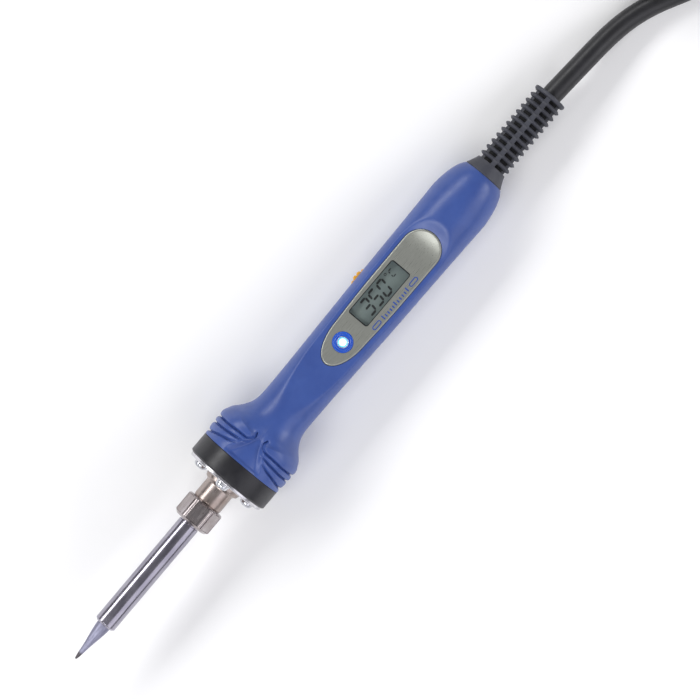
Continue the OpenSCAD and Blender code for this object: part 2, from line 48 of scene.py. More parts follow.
MM = 0.001
TIP_REACH = 15.2
TUBE_R = 3.95
NUT_X = 61.0
NUT_LEN = 8.6
NUT_R = 7.1
PLATE_X = 79.4
PLATE_R = 15.2
COLLAR_X = PLATE_X + 1.2
COLLAR_R = 16.0
SCREW_CIRCLE_R = 11.8
SHELL_X = COLLAR_X + 7.6
GRIP_END_X = 204.0
GRIP_R = 11.4
SHELL_END_X = 216.8
FLAT_Z = 7.2
SCOOP_X = 180.0
SCOOP_R = 28.0
WALL = 1.8
PANEL_X = 132.7
PANEL_LEN = 57.8
PANEL_W = 14.3
WINDOW_X = 163.1
WINDOW_Y = 1.2
WINDOW_LEN = 23.6
WINDOW_W = 8.4
LAMP_X = 142.2
LAMP_RING_R = 3.7
LAMP_R = 1.45
DIAL_X = 162.8
DIAL_Y = 5.8
DIAL_Z = -2.2
DIAL_THICK = 2.9
DIAL_R = 6.0
DIAL_TEETH = 18
CORD_R = 3.75
GUARD_LEN = 36.2
RIB_R = 6.4
SLOT_PITCH = 2.61
SLOTS = 12
TIP_POINT_R = 0.4

GUARD_END_X = SHELL_END_X + GUARD_LEN
TILT = math.atan((COLLAR_R - GRIP_R) / (GRIP_END_X - SHELL_X))
MIDDLE_X = GUARD_END_X / 2 + (RIB_R - TIP_POINT_R) / 2 * math.tan(TILT)
REST_Z = COLLAR_R * math.cos(TILT) + (SHELL_X - MIDDLE_X) * math.sin(TILT)
REST = (
    Matrix.Scale(MM, 4)
    @ Matrix.Translation((0, 0, REST_Z))
    @ Matrix.Rotation(TILT, 4, "Y")
    @ Matrix.Translation((-MIDDLE_X, 0, 0))
)
ROW = Matrix.Scale(MM, 4)
TOOL_ORIGIN = ((MIDDLE_X + REST_Z * math.sin(TILT)) * MM, 0, -REST_Z * math.cos(TILT) * MM)


def lerp(a, b, t):
    return a + (b - a) * t


def smooth(low, high, x):
    """0 below low, 1 above high, and an even S between them."""
    t = min(max((x - low) / (high - low), 0), 1)
    return t * t * (3 - 2 * t)


def curve_value(points, x):
    """The height of a smooth curve through (x, value) points, held flat past both ends."""
    if x <= points[0][0]:
        return points[0][1]
    if x >= points[-1][0]:
        return points[-1][1]
    i = next(k for k in range(len(points) - 1) if x <= points[k + 1][0])
    (x1, y1), (x2, y2) = points[i], points[i + 1]
    x0, y0 = points[i - 1] if i > 0 else (2 * x1 - x2, 2 * y1 - y2)
    x3, y3 = points[i + 2] if i + 2 < len(points) else (2 * x2 - x1, 2 * y2 - y1)
    m1 = (y2 - y0) / (x2 - x0) * (x2 - x1)
    m2 = (y3 - y1) / (x3 - x1) * (x2 - x1)
    t = (x - x1) / (x2 - x1)
    return (
        y1 * (2 * t**3 - 3 * t**2 + 1)
        + m1 * (t**3 - 2 * t**2 + t)
        + y2 * (3 * t**2 - 2 * t**3)
        + m2 * (t**3 - t**2)
    )


# ---------- camera ----------

CAMERA_X = 141.8
CAMERA_Y = -3.6
CAMERA_AWAY = 1236.0
CAMERA_TURN = math.radians(49.8)


def make_camera():
    """A long lens straight above the display, rolled so that the tool climbs across the picture."""
    data = bpy.data.cameras.new("camera")
    data.sensor_width = 36
    data.lens = 185.1
    data.clip_start = 0.05
    data.clip_end = 10
    camera = bpy.data.objects.new("camera", data)
    bpy.context.scene.collection.objects.link(camera)
    bpy.context.scene.camera = camera
    place = REST @ Vector((CAMERA_X, CAMERA_Y, CAMERA_AWAY))
    turn = Matrix.Rotation(TILT, 4, "Y") @ Matrix.Rotation(-CAMERA_TURN, 4, "Z")
    camera.matrix_world = Matrix.Translation(place) @ turn
    return camera


# ---------- mesh helpers ----------


def link(obj, slot, *nodes, body="handle"):
    """Puts a finished piece in the scene, on its body and in place of its CAD nodes."""
    bpy.context.scene.collection.objects.link(obj)
    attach(obj, body)
    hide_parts(*nodes)
    return obj


def mesh_piece(name, points, faces, slot, place=REST, smooth_angle=38):
    """An object from points in millimetres; faces meet smoothly below smooth_angle degrees."""
    mesh = bpy.data.meshes.new(name)
    mesh.from_pydata([place @ Vector(p) for p in points], [], faces)
    mesh.materials.append(finish_of(slot))
    shade(mesh, smooth_angle)
    return bpy.data.objects.new(name, mesh)


def shade(mesh, smooth_angle):
    mesh.validate()
    bm = bmesh.new()
    bm.from_mesh(mesh)
    bmesh.ops.recalc_face_normals(bm, faces=bm.faces)
    bm.to_mesh(mesh)
    bm.free()
    mesh.shade_smooth()
    mesh.set_sharp_from_angle(angle=math.radians(smooth_angle))


def grid_faces(rows, columns, wrap=False):
    """Quads between rows of points laid one after another; wrap joins each row's end to its start."""
    faces = []
    for a in range(0, (rows - 1) * columns, columns):
        b = a + columns
        for j in range(columns if wrap else columns - 1):
            k = (j + 1) % columns
            faces.append((a + j, a + k, b + k, b + j))
    return faces


def loop_faces(rows, columns):
    """Quads of a surface that closes both ways: round each row, and from the last row to the first."""
    last = (rows - 1) * columns
    closing = [(last + k, last + (k + 1) % columns, (k + 1) % columns, k) for k in range(columns)]
    return grid_faces(rows, columns, wrap=True) + closing


def ring_row(x, radius, count):
    """Points round the tool's axis at x. radius is a number, or a function of the angle from straight up."""
    row = []
    for k in range(count):
        a = math.tau * k / count
        r = radius(a) if callable(radius) else radius
        row.append((x, r * math.sin(a), r * math.cos(a)))
    return row


def rounded(profile, radius, steps=3):
    """A copy of an open outline with each inner corner eased by a small curve."""
    eased = [profile[0]]
    for i in range(1, len(profile) - 1):
        before, here, after = (Vector(profile[k]) for k in (i - 1, i, i + 1))
        reach = min(radius, (before - here).length * 0.4, (after - here).length * 0.4)
        start = here + (before - here).normalized() * reach
        end = here + (after - here).normalized() * reach
        for k in range(steps + 1):
            t = k / steps
            eased.append(tuple(start.lerp(here, t).lerp(here.lerp(end, t), t)))
    eased.append(profile[-1])
    return eased


def turned(name, profile, slot, place=REST, segments=96, ease=0.12, centre=(0, 0), upright=False):
    """A solid turned from [(distance along the axis, radius)]. A profile that ends where it starts is a
    ring. centre is where the axis runs: (y, z), or (x, y) if upright."""
    outline = rounded(profile, ease)
    ring = profile[0] == profile[-1]
    if ring:
        outline = outline[:-1]
    points = []
    for along, r in outline:
        for k in range(segments):
            a = math.tau * k / segments
            u, v = centre[0] + max(r, 1e-4) * math.cos(a), centre[1] + max(r, 1e-4) * math.sin(a)
            points.append((u, v, along) if upright else (along, u, v))
    faces = loop_faces(len(outline), segments) if ring else grid_faces(len(outline), segments, wrap=True)
    return mesh_piece(name, points, faces, slot, place)


def prism(outline, low, high):
    """Points and faces of an upright block over a plan outline of (x, y) points."""
    turn = sum(a[0] * b[1] - b[0] * a[1] for a, b in zip(outline, outline[1:] + outline[:1]))
    if turn < 0:
        outline = outline[::-1]
    count = len(outline)
    points = [(x, y, low) for x, y in outline] + [(x, y, high) for x, y in outline]
    faces = [tuple(range(count - 1, -1, -1)), tuple(range(count, 2 * count))]
    faces += [(k, (k + 1) % count, count + (k + 1) % count, count + k) for k in range(count)]
    return points, faces


def blocks(name, outlines, low, high, slot, smooth_angle=38):
    """One mesh of upright blocks over several plan outlines."""
    points, faces = [], []
    for outline in outlines:
        first = len(points)
        more, sides = prism(outline, low, high)
        points += more
        faces += [tuple(v + first for v in side) for side in sides]
    return mesh_piece(name, points, faces, slot, smooth_angle=smooth_angle)


def band(outer, inner):
    """Four-cornered outlines that fill the space between two plans with as many points."""
    corners = zip(outer, outer[1:] + outer[:1], inner[1:] + inner[:1], inner)
    return [list(c) for c in corners if math.dist(c[0], c[1]) > 1e-4]


def cut_away(obj, points, faces, place=REST):
    """Cuts the block given by points and faces out of an object's mesh."""
    mesh = bpy.data.meshes.new("cutter")
    mesh.from_pydata([place @ Vector(p) for p in points], [], faces)
    cutter = bpy.data.objects.new("cutter", mesh)
    bpy.context.scene.collection.objects.link(cutter)
    bpy.context.scene.collection.objects.link(obj)
    cut = obj.modifiers.new("cut", "BOOLEAN")
    cut.operation = "DIFFERENCE"
    cut.solver = "EXACT"
    cut.object = cutter
    bpy.context.view_layer.update()
    evaluated = obj.evaluated_get(bpy.context.evaluated_depsgraph_get())
    result = bpy.data.meshes.new_from_object(evaluated)
    obj.modifiers.clear()
    obj.data = result
    bpy.context.scene.collection.objects.unlink(obj)
    bpy.data.objects.remove(cutter)
    return obj


def joined(name, objects):
    """One object from several, which keep their own materials."""
    merged = bpy.data.meshes.new(name)
    bm = bmesh.new()
    for obj in objects:
        first = len(merged.materials)
        for material in obj.data.materials:
            merged.materials.append(material)
        before = len(bm.faces)
        bm.from_mesh(obj.data)
        bm.faces.ensure_lookup_table()
        for face in bm.faces[before:]:
            face.material_index += first
        bpy.data.objects.remove(obj)
    bm.to_mesh(merged)
    bm.free()
    return bpy.data.objects.new(name, merged)


def circle(x, y, r, count=64):
    """Plan outline of a circle."""
    return [
        (x + r * math.cos(math.tau * k / count), y + r * math.sin(math.tau * k / count))
        for k in range(count)
    ]


# ---------- materials ----------


def srgb(r, g, b):
    """A colour given as it looks on a screen, 0 to 255, as the renderer's linear values."""
    parts = []
    for value in (r, g, b):
        v = value / 255
        parts.append(v / 12.92 if v <= 0.04045 else ((v + 0.055) / 1.055) ** 2.4)
    return (*parts, 1.0)


class Surface:
    """A material being built from nodes round one principled shader."""

    def __init__(self, name, roughness=0.5, metallic=0.0, **inputs):
        self.material = bpy.data.materials.new(name)
        self.material.use_nodes = True
        self.tree = self.material.node_tree
        self.shader = self.tree.nodes["Principled BSDF"]
        self.shader.inputs["Roughness"].default_value = roughness
        self.shader.inputs["Metallic"].default_value = metallic
        for key, value in inputs.items():
            self.shader.inputs[key.replace("_", " ")].default_value = value
        coords = self.add("ShaderNodeTexCoord").outputs["Object"]
        level = self.add(
            "ShaderNodeMapping",
            {"Vector": coords, "Rotation": (0, -TILT, 0), "Location": TOOL_ORIGIN},
            vector_type="POINT",
        )
        self.coords = level.outputs["Vector"]
        self.normal = None

    def add(self, kind, values=None, **settings):
        """A node with its settings; values gives its sockets numbers, or outputs to join to them."""
        node = self.tree.nodes.new(kind)
        for key, value in settings.items():
            setattr(node, key, value)
        for key, value in (values or {}).items():
            if isinstance(value, bpy.types.NodeSocket):
                self.tree.links.new(value, node.inputs[key])
            else:
                node.inputs[key].default_value = value
        return node

    def set(self, socket, output):
        self.tree.links.new(output, self.shader.inputs[socket])
        return self

    def noise(self, size, detail=3.0, roughness=0.55, along=(1, 1, 1)):
        """Noise whose features are about size millimetres across; along lengthens them on an axis."""
        k = 1 / (size * MM)
        scale = [k / a for a in along]
        place = self.add("ShaderNodeVectorMath", {0: self.coords, 1: scale}, operation="MULTIPLY").outputs[0]
        values = {"Vector": place, "Scale": 1.0, "Detail": detail, "Roughness": roughness}
        return self.add("ShaderNodeTexNoise", values).outputs["Fac"]

    def ramp(self, value, *stops):
        """Colours at places between 0 and 1: each stop is (place, colour)."""
        node = self.add("ShaderNodeValToRGB", {"Fac": value})
        for element, (place, colour) in zip(node.color_ramp.elements, stops):
            element.position = place
            element.color = colour
        return node.outputs["Color"]

    def between(self, value, low, high, start=0.25, end=0.75):
        """value from start to end mapped to low to high."""
        values = {"Value": value, "From Min": start, "From Max": end, "To Min": low, "To Max": high}
        return self.add("ShaderNodeMapRange", values).outputs["Result"]

    def mixed(self, factor, a, b):
        values = {"Factor": factor, "A": a, "B": b}
        return self.add("ShaderNodeMix", values, data_type="RGBA").outputs["Result"]

    def bump(self, height, distance):
        """Relief of a depth in millimetres."""
        node = self.add("ShaderNodeBump", {"Height": height, "Strength": 1.0, "Distance": distance * MM})
        return self.set("Normal", node.outputs["Normal"])


def moulded(name, dark, light, roughness, grain=0.35, relief=0.02, coat=0.0):
    """Moulded plastic or rubber: soft colour drift, uneven gloss and a fine grain."""
    s = Surface(name, Coat_Weight=coat, Coat_Roughness=0.25)
    s.set("Base Color", s.ramp(s.noise(9), (0.3, dark), (0.7, light)))
    s.set("Roughness", s.between(s.noise(2.5), roughness * 0.85, roughness * 1.15))
    return s.bump(s.noise(grain, detail=2), relief).material


def turned_metal(name, dark, light, roughness, marks=0.12, relief=0.006, tint=None):
    """Metal from a lathe: fine rings round the axis, faint lengthwise wear and, if given, a heat tint."""
    s = Surface(name, metallic=1.0)
    base = s.ramp(s.noise(3.0, along=(3, 1, 1)), (0.3, dark), (0.7, light))
    if tint:
        base = s.mixed(s.between(s.noise(6), 0.1, 0.75), base, tint)
    s.set("Base Color", base)
    s.set("Roughness", s.between(s.noise(1.2, along=(4, 1, 1)), roughness * 0.7, roughness * 1.3))
    return s.bump(s.noise(marks, along=(1, 60, 60)), relief).material


def sheet_metal(name, dark, light, roughness, along=(40, 1, 1), relief=0.004, metallic=1.0):
    """Rolled sheet or satin metal: straight fine lines along one axis."""
    s = Surface(name, metallic=metallic)
    s.set("Base Color", s.ramp(s.noise(2.0), (0.3, dark), (0.7, light)))
    s.set("Roughness", s.between(s.noise(0.15, along=along), roughness * 0.8, roughness * 1.2))
    return s.bump(s.noise(0.12, along=along), relief).material


def plain(name, dark, light, roughness=0.5, metallic=0.0, size=2.0, relief=0.01):
    """A simple finish for small pieces: two tones, uneven gloss and fine relief."""
    s = Surface(name, metallic=metallic)
    s.set("Base Color", s.ramp(s.noise(size), (0.35, dark), (0.65, light)))
    s.set("Roughness", s.between(s.noise(size / 2), roughness * 0.8, roughness * 1.2))
    return s.bump(s.noise(size / 6), relief).material


def cord_jacket(name, dark, light, roughness):
    s = Surface(name, Coat_Weight=0.1, Coat_Roughness=0.35)
    s.set("Base Color", s.ramp(s.noise(5), (0.3, dark), (0.7, light)))
    s.set("Roughness", s.between(s.noise(1.2), roughness, 0.5))
    return s.bump(s.noise(0.3, along=(10, 1, 1)), 0.01).material


def tip_plating(name, dark, light, roughness):
    """Plated copper: bright along the cone, with a dark tinned point."""
    s = Surface(name, metallic=1.0)
    x = s.add("ShaderNodeSeparateXYZ", {0: s.coords}).outputs["X"]
    values = {"Value": x, "From Min": 2.2 * MM, "From Max": 3.4 * MM}
    tinned = s.add("ShaderNodeMapRange", values, interpolation_type="SMOOTHSTEP").outputs["Result"]
    plate = s.ramp(s.noise(1.5, along=(4, 1, 1)), (0.3, dark), (0.7, light))
    s.set("Base Color", s.mixed(tinned, srgb(92, 88, 92), plate))
    s.set("Roughness", s.between(s.noise(0.5, along=(6, 1, 1)), roughness, 0.52))
    return s.bump(s.noise(0.2, along=(12, 1, 1)), 0.006).material


def glass(name, dark, light, alpha):
    """A thin clear pane: almost nothing of its own but a shine."""
    s = Surface(name, Alpha=alpha)
    s.set("Base Color", s.ramp(s.noise(6), (0.3, dark), (0.7, light)))
    return s.set("Roughness", s.between(s.noise(4), 0.04, 0.09)).material


def lamp_lit(name, middle, rim, roughness):
    """A frosted lens lit from behind, white in the middle and blue at its rim."""
    s = Surface(name, roughness)
    flat = s.add("ShaderNodeVectorMath", {0: s.coords, 1: (1, 1, 0)}, operation="MULTIPLY").outputs[0]
    away = s.add("ShaderNodeVectorMath", {0: flat, 1: (LAMP_X * MM, 0, 0)}, operation="DISTANCE")
    reach = s.between(away.outputs["Value"], 0, 1, 0, LAMP_R * MM)
    glow = s.ramp(reach, (0.55, middle), (0.95, rim))
    s.shader.inputs["Emission Strength"].default_value = 2.4
    return s.set("Base Color", glow).set("Emission Color", glow).material


# Each slot's kind of finish, its two tones as they look on a screen, its roughness and any settings.
# A glass has its alpha in place of a roughness.
FINISHES = {
    "tip_plate": (tip_plating, (132, 132, 152), (160, 160, 180), 0.38),
    "tube_steel": (turned_metal, (148, 145, 158), (176, 173, 184), 0.2, {"relief": 0.003}),
    "nut_steel": (turned_metal, (168, 161, 162), (198, 192, 194), 0.26, {"tint": srgb(150, 138, 134)}),
    "nipple_steel": (
        turned_metal, (160, 150, 147), (192, 183, 179), 0.3, {"marks": 0.2, "tint": srgb(150, 132, 122)}
    ),
    "spring_steel": (turned_metal, (170, 170, 174), (200, 200, 204), 0.25),
    "plate_steel": (sheet_metal, (196, 195, 200), (226, 225, 229), 0.24, {"along": (1, 30, 1)}),
    "screw_steel": (turned_metal, (190, 192, 198), (226, 228, 232), 0.2),
    "collar_black": (moulded, (20, 20, 25), (28, 28, 34), 0.38, {"grain": 0.25, "relief": 0.012}),
    "ceramic_heater": (plain, (228, 226, 218), (240, 239, 233), 0.45),
    "ceramic_base": (plain, (206, 196, 164), (220, 212, 184), 0.6),
    "lead_red": (plain, (150, 34, 28), (176, 44, 36), 0.45),
    "lead_blue": (plain, (44, 66, 150), (56, 84, 178), 0.45),
    "handle_blue": (moulded, (52, 76, 142), (60, 85, 152), 0.36, {"grain": 0.3, "relief": 0.01}),
    "shell_screw_steel": (plain, (40, 40, 43), (62, 62, 66), 0.35, {"metallic": 1.0}),
    "print_blue": (plain, (30, 66, 146), (38, 76, 158), 0.5, {"size": 1.0, "relief": 0.002}),
    "segment_dark": (plain, (34, 38, 38), (42, 46, 46), 0.45, {"size": 3.0, "relief": 0.001}),
    "lens_led": (plain, (214, 230, 240), (230, 242, 250), 0.3),
    "panel_grey": (sheet_metal, (144, 146, 139), (150, 152, 145), 0.3, {"metallic": 0.45, "relief": 0.0015}),
    "bezel_bright": (turned_metal, (200, 206, 214), (226, 230, 236), 0.2),
    "window_clear": (glass, (39, 41, 41), (48, 50, 50), 0.1),
    "lcd_grey": (plain, (116, 130, 128), (124, 138, 134), 0.5, {"size": 6.0, "relief": 0.002}),
    "contact_rubber": (plain, (200, 150, 156), (220, 176, 180), 0.6),
    "ring_blue": (moulded, (18, 66, 168), (28, 92, 205), 0.22, {"coat": 0.6}),
    "lens_clear": (lamp_lit, (255, 255, 255), (80, 200, 255), 0.25),
    "board_green": (plain, (24, 92, 52), (34, 116, 66), 0.4),
    "chip_black": (plain, (26, 26, 28), (38, 38, 40), 0.5),
    "capacitor_brown": (plain, (150, 100, 36), (178, 124, 48), 0.35),
    "fuse_glass": (glass, (39, 41, 41), (48, 50, 50), 0.3),
    "connector_cream": (plain, (220, 214, 196), (234, 229, 214), 0.5),
    "terminal_blue": (plain, (44, 92, 146), (60, 112, 170), 0.5),
    "pot_dark": (plain, (40, 46, 58), (52, 60, 74), 0.5),
    "shaft_steel": (turned_metal, (180, 180, 184), (206, 206, 210), 0.25),
    "dial_yellow": (moulded, (214, 152, 26), (234, 174, 40), 0.38, {"coat": 0.2}),
    "wire_brown": (plain, (96, 58, 34), (116, 74, 44), 0.45),
    "clamp_steel": (plain, (168, 168, 172), (196, 196, 200), 0.3, {"metallic": 1.0}),
    "guard_rubber": (moulded, (54, 55, 63), (64, 66, 75), 0.55, {"grain": 0.22}),
    "cord_black": (cord_jacket, (20, 20, 23), (28, 28, 32), 0.38),
    # slot_shade: the black cord seen through the guard's slots, made darker than the cord as painted shade
    # in the deep slots
    "slot_shade": (plain, (5, 5, 7), (9, 9, 12), 0.8, {"relief": 0.005}),
    "tie_black": (plain, (24, 24, 26), (40, 40, 43), 0.85, {"size": 0.7, "relief": 0.12}),
    "plug_black": (moulded, (24, 24, 27), (34, 34, 38), 0.5, {"relief": 0.03}),
    "blade_brass": (sheet_metal, (196, 168, 104), (222, 196, 134), 0.3, {"along": (20, 1, 1)}),
}
FINISHED = {}


def finish_of(slot):
    """The material of a slot, made the first time it is asked for."""
    if slot not in FINISHED:
        kind, dark, light, roughness, *settings = FINISHES[slot]
        FINISHED[slot] = kind(slot, srgb(*dark), srgb(*light), roughness, **dict(*settings))
    return FINISHED[slot]


# ---------- free cord and plug ----------

CORD_EXIT = (126.3, 0, 9.4)
CORD_ROUTE = [
    CORD_EXIT, (131, -0.25, 9.3), (136, -0.55, 9), (141, -0.85, 8.5), (146, -1.15, 7.8), (151, -1.5, 6.9),
    (156, -2, 6), (161, -2.8, 5.1), (166, -4, 4.4), (171, -5.7, 4), (176, -7.9, 3.8), (181, -10.5, 3.8),
    (186, -13.1, 3.8), (191, -15.6, 3.8), (196, -17.8, 3.8), (201, -19.5, 3.8), (206, -20.6, 3.8),
]
LEAD_ROUTE = [
    (188.9, -11.8, 11.6), (195.5, -17, 12.2), (203, -20.2, 13.6), (211, -20.8, 15.8), (219, -19.2, 18.6),
    (227, -15.8, 21.4), (235, -11.4, 24), (243, -7.3, 26), (251, -4.2, 27.2), (259, -2.8, 27.6),
    (268, -2.6, 27.6),
]
HANK_X = 253
HANK_Y = 10
HANK_LOOP_R = 23.5
HANK_WAIST_R = 31.0
HANK_WAIST_Y = 3.9
HANK_LANE = 7.6
HANK_LAYER = 7.5
HANK_HIGH = 16
HANK_TURNS = 2.92
POINTS_A_TURN = 48
CENTRE_Y = HANK_WAIST_Y + HANK_WAIST_R
HANK_END_X = math.sqrt((HANK_LOOP_R + HANK_WAIST_R) ** 2 - CENTRE_Y**2)
TIE_W = 10
TIE_THICK = 0.9
PLUG_X = 276
PLUG_Y = -2.6
PLUG_Z = 27.6
PLUG_LEN = 30
PLUG_W = 28
PLUG_HIGH = 21
PLUG_GUARD_LEN = 17
BLADE_Y = -5
BLADE_Z = 6.35
BLADE_LEN = 17
PIN_Y = 6.9
PIN_R = 2.4


def hank_point(turns, outward):
    """Plan of the hank's cord, counted in turns from its first touch, outward of its inner lane."""
    tangent = math.atan2(CENTRE_Y, HANK_END_X)
    loop, waist = HANK_LOOP_R + outward, HANK_WAIST_R - outward
    loop_mid, waist_mid = HANK_LOOP_R + HANK_LANE / 2, HANK_WAIST_R - HANK_LANE / 2
    arcs = [
        (-HANK_END_X, 0, loop, loop_mid, -math.pi / 2, -tangent),
        (0, -CENTRE_Y, waist, waist_mid, math.pi - tangent, tangent),
        (HANK_END_X, 0, loop, loop_mid, tangent - math.pi, math.pi - tangent),
        (0, CENTRE_Y, waist, waist_mid, -tangent, tangent - math.pi),
        (-HANK_END_X, 0, loop, loop_mid, tangent, 1.5 * math.pi),
    ]
    lengths = [abs(end - start) * mid for _, _, _, mid, start, end in arcs]
    way = (turns % 1) * sum(lengths)
    for (x, y, r, _, start, end), length in zip(arcs, lengths):
        if way <= length:
            a = lerp(start, end, way / length)
            return HANK_X + x + r * math.cos(a), HANK_Y + y + r * math.sin(a)
        way -= length
    return HANK_X - HANK_END_X, HANK_Y - loop


def hank_route():
    """Three turns: an outer and an inner one on the table, and the third on top of them."""
    route = []
    for i in range(round(HANK_TURNS * POINTS_A_TURN) + 1):
        t = i / POINTS_A_TURN
        outward = HANK_LANE * (1 - smooth(0.78, 0.94, t) + smooth(2.48, 2.64, t))
        x, y = hank_point(t, outward)
        over_tie = 0.95 * math.exp(-(((x - HANK_X) / 22) ** 2))
        route.append((x, y, CORD_R + HANK_LAYER * smooth(1.63, 1.79, t) + over_tie))
    return route


def through(route, steps=4):
    """Points of a smooth curve through every point of a route."""
    p = [Vector(q) for q in route]
    p = [2 * p[0] - p[1], *p, 2 * p[-1] - p[-2]]
    out = []
    for i in range(1, len(p) - 2):
        a, b, c, d = p[i - 1 : i + 3]
        for k in range(steps):
            t = k / steps
            squared = (2 * a - 5 * b + 4 * c - d) * t**2
            cubed = (3 * b - a - 3 * c + d) * t**3
            out.append(0.5 * (2 * b + (c - a) * t + squared + cubed))
    out.append(p[-2])
    return out


def make_cord():
    """The free cord from the guard's end, round its hank and up into the plug: one curve."""
    route = through(CORD_ROUTE + hank_route() + LEAD_ROUTE)
    data = bpy.data.curves.new("power_cord", "CURVE")
    data.dimensions = "3D"
    data.bevel_depth = (CORD_R - 0.05) * MM
    data.bevel_resolution = 8
    data.use_fill_caps = True
    spline = data.splines.new("POLY")
    spline.points.add(len(route) - 1)
    for point, place in zip(spline.points, route):
        point.co = (*(place * MM), 1)
    data.materials.append(finish_of("cord_black"))
    cord = bpy.data.objects.new("power_cord", data)
    link(cord, "cord_black", "cord_run", "cord_hank", "plug_lead")
    length = sum((b - a).length for a, b in zip(route, route[1:])) * MM
    return cord, length


def round_box_loop(half_y, high, radius, steps=8):
    """(y, z) points round a box that stands on z = 0, with rounded corners."""
    loop = []
    for cy, cz, start in (
        (half_y - radius, high - radius, 0),
        (radius - half_y, high - radius, 90),
        (radius - half_y, radius, 180),
        (half_y - radius, radius, 270),
    ):
        for k in range(steps + 1):
            a = math.radians(start + 90 * k / steps)
            loop.append((cy + radius * math.cos(a), cz + radius * math.sin(a)))
    return loop


def make_tie():
    """A woven hook-and-loop strap round the hank's waist, its free end lapped over the top."""
    half_y = HANK_WAIST_Y + HANK_LANE + CORD_R
    outer = round_box_loop(half_y + TIE_THICK, HANK_HIGH + TIE_THICK, 4.6)
    inner = round_box_loop(half_y, HANK_HIGH - TIE_THICK, 3.7)
    inner = [(y, z + TIE_THICK) for y, z in inner]
    edges = [(-TIE_W / 2, 0.25), (-TIE_W / 2 + 0.25, 0), (TIE_W / 2 - 0.25, 0), (TIE_W / 2, 0.25)]
    rows = [(edge, outer, inner) for edge in edges] + [(edge, inner, outer) for edge in reversed(edges)]
    points = []
    for (x, inset), near, far in rows:
        for (a, b), (c, d) in zip(near, far):
            points.append((HANK_X + x, HANK_Y + lerp(a, c, inset), lerp(b, d, inset)))
    faces = loop_faces(len(rows), len(outer))
    strap = mesh_piece("hank_strap", points, faces, "tie_black", ROW)
    top = HANK_HIGH + TIE_THICK
    lap = [(-11, top - 0.1), (-10.6, top + 0.55), (8.4, top + 0.6), (9, top + 0.2), (9, top - 0.1)]
    points = [(HANK_X + x, HANK_Y + y, z) for x in (-TIE_W / 2 + 0.2, TIE_W / 2 - 0.2) for y, z in lap]
    faces = grid_faces(2, 5, wrap=True) + [(4, 3, 2, 1, 0), (5, 6, 7, 8, 9)]
    end = mesh_piece("strap_end", points, faces, "tie_black", ROW)
    return link(joined("hank_strap", [strap, end]), "tie_black", "hank_tie")


def super_section(half_y, half_z, power, count=96):
    """(y, z) points round a box with generously rounded corners."""
    section = []
    for k in range(count):
        a = math.tau * k / count
        c, s = math.cos(a), math.sin(a)
        r = (abs(c / half_y) ** power + abs(s / half_z) ** power) ** (-1 / power)
        section.append((r * c, r * s))
    return section


def make_plug_body():
    """A moulded plug that narrows to the cord, with finger grooves across its back half."""
    rows = [(0, 5.6, 5.2), (0.6, 6.6, 6.0), (3, 8.6, 7.2), (7, 10.9, 8.6), (12, 12.6, 9.5), (18, 13.6, 10.2)]
    for x, inset in ((26, 0.1), (28.6, 0), (29.6, 0.35), (PLUG_LEN, 1.1)):
        rows.append((x, PLUG_W / 2 - inset, PLUG_HIGH / 2 - inset))
    wide, high = [(x, y) for x, y, _ in rows], [(x, z) for x, _, z in rows]
    stations = [PLUG_LEN * k / 120 for k in range(121)]
    points = []
    for x in stations:
        groove = sum(math.exp(-(((x - g) / 0.75) ** 2)) for g in (9, 12.5, 16, 19.5))
        power = lerp(2.2, 4.5, smooth(0, 14, x))
        half_y = curve_value(wide, x) - groove * 0.75
        half_z = curve_value(high, x) - groove * 0.15
        for y, z in super_section(half_y, half_z, power):
            points.append((PLUG_X + x, PLUG_Y + y, PLUG_Z + z))
    faces = grid_faces(len(stations), 96, wrap=True)
    last = (len(stations) - 1) * 96
    faces += [tuple(range(95, -1, -1)), tuple(range(last, last + 96))]
    plug = mesh_piece("plug_moulding", points, faces, "plug_black", ROW)
    return link(plug, "plug_black", "plug_body")


def make_plug_guard():
    """The plug's own cord guard: rings joined by the sleeve inside them."""
    mouth = PLUG_X - PLUG_GUARD_LEN
    profile = [(mouth, CORD_R), (mouth, 4.7), (mouth + 0.5, 5.0), (mouth + 1.9, 5.05)]
    for k in range(5):
        x = mouth + 2 + 2.7 * k
        outer = 5.05 + 0.2 * k
        profile += [(x, outer - 0.05), (x + 0.1, 4.4), (x + 1, 4.4), (x + 1.1, outer)]
        profile.append((x + 2.6, outer + 0.15))
    profile += [(PLUG_X + 0.4, 6.2), (PLUG_X + 0.4, CORD_R), (mouth, CORD_R)]
    guard = turned("plug_sleeve", profile, "plug_black", ROW, centre=(PLUG_Y, PLUG_Z), ease=0.15)
    return link(guard, "plug_black", "plug_guard")


def make_blades():
    """Two flat blades with eased ends and the usual hole near each tip."""
    root = PLUG_X + PLUG_LEN - 3
    tip = PLUG_X + PLUG_LEN + BLADE_LEN
    stations = [(root, 3.15, 0.75), (tip - 1.6, 3.15, 0.75), (tip - 0.3, 2.5, 0.55), (tip, 2.0, 0.2)]
    blades = []
    for side in (-1, 1):
        y, z = PLUG_Y + BLADE_Y, PLUG_Z + side * BLADE_Z
        points = []
        for x, half, thick in stations:
            edge = [(-half, 0.2 - thick), (0.2 - half, -thick), (half - 0.2, -thick), (half, 0.2 - thick)]
            points += [(x, y + v, z + w) for v, w in edge]
            points += [(x, y - v, z - w) for v, w in edge]
        faces = grid_faces(4, 8, wrap=True) + [tuple(range(7, -1, -1)), tuple(range(24, 32))]
        blade = mesh_piece("blade", points, faces, "blade_brass", ROW, 30)
        blade = cut_away(blade, *prism(circle(tip - 4, y, 1.6, 32), z - 2, z + 2), place=ROW)
        shade(blade.data, 30)
        blades.append(blade)
    return link(joined("plug_blade_pair", blades), "blade_brass", "plug_blades")


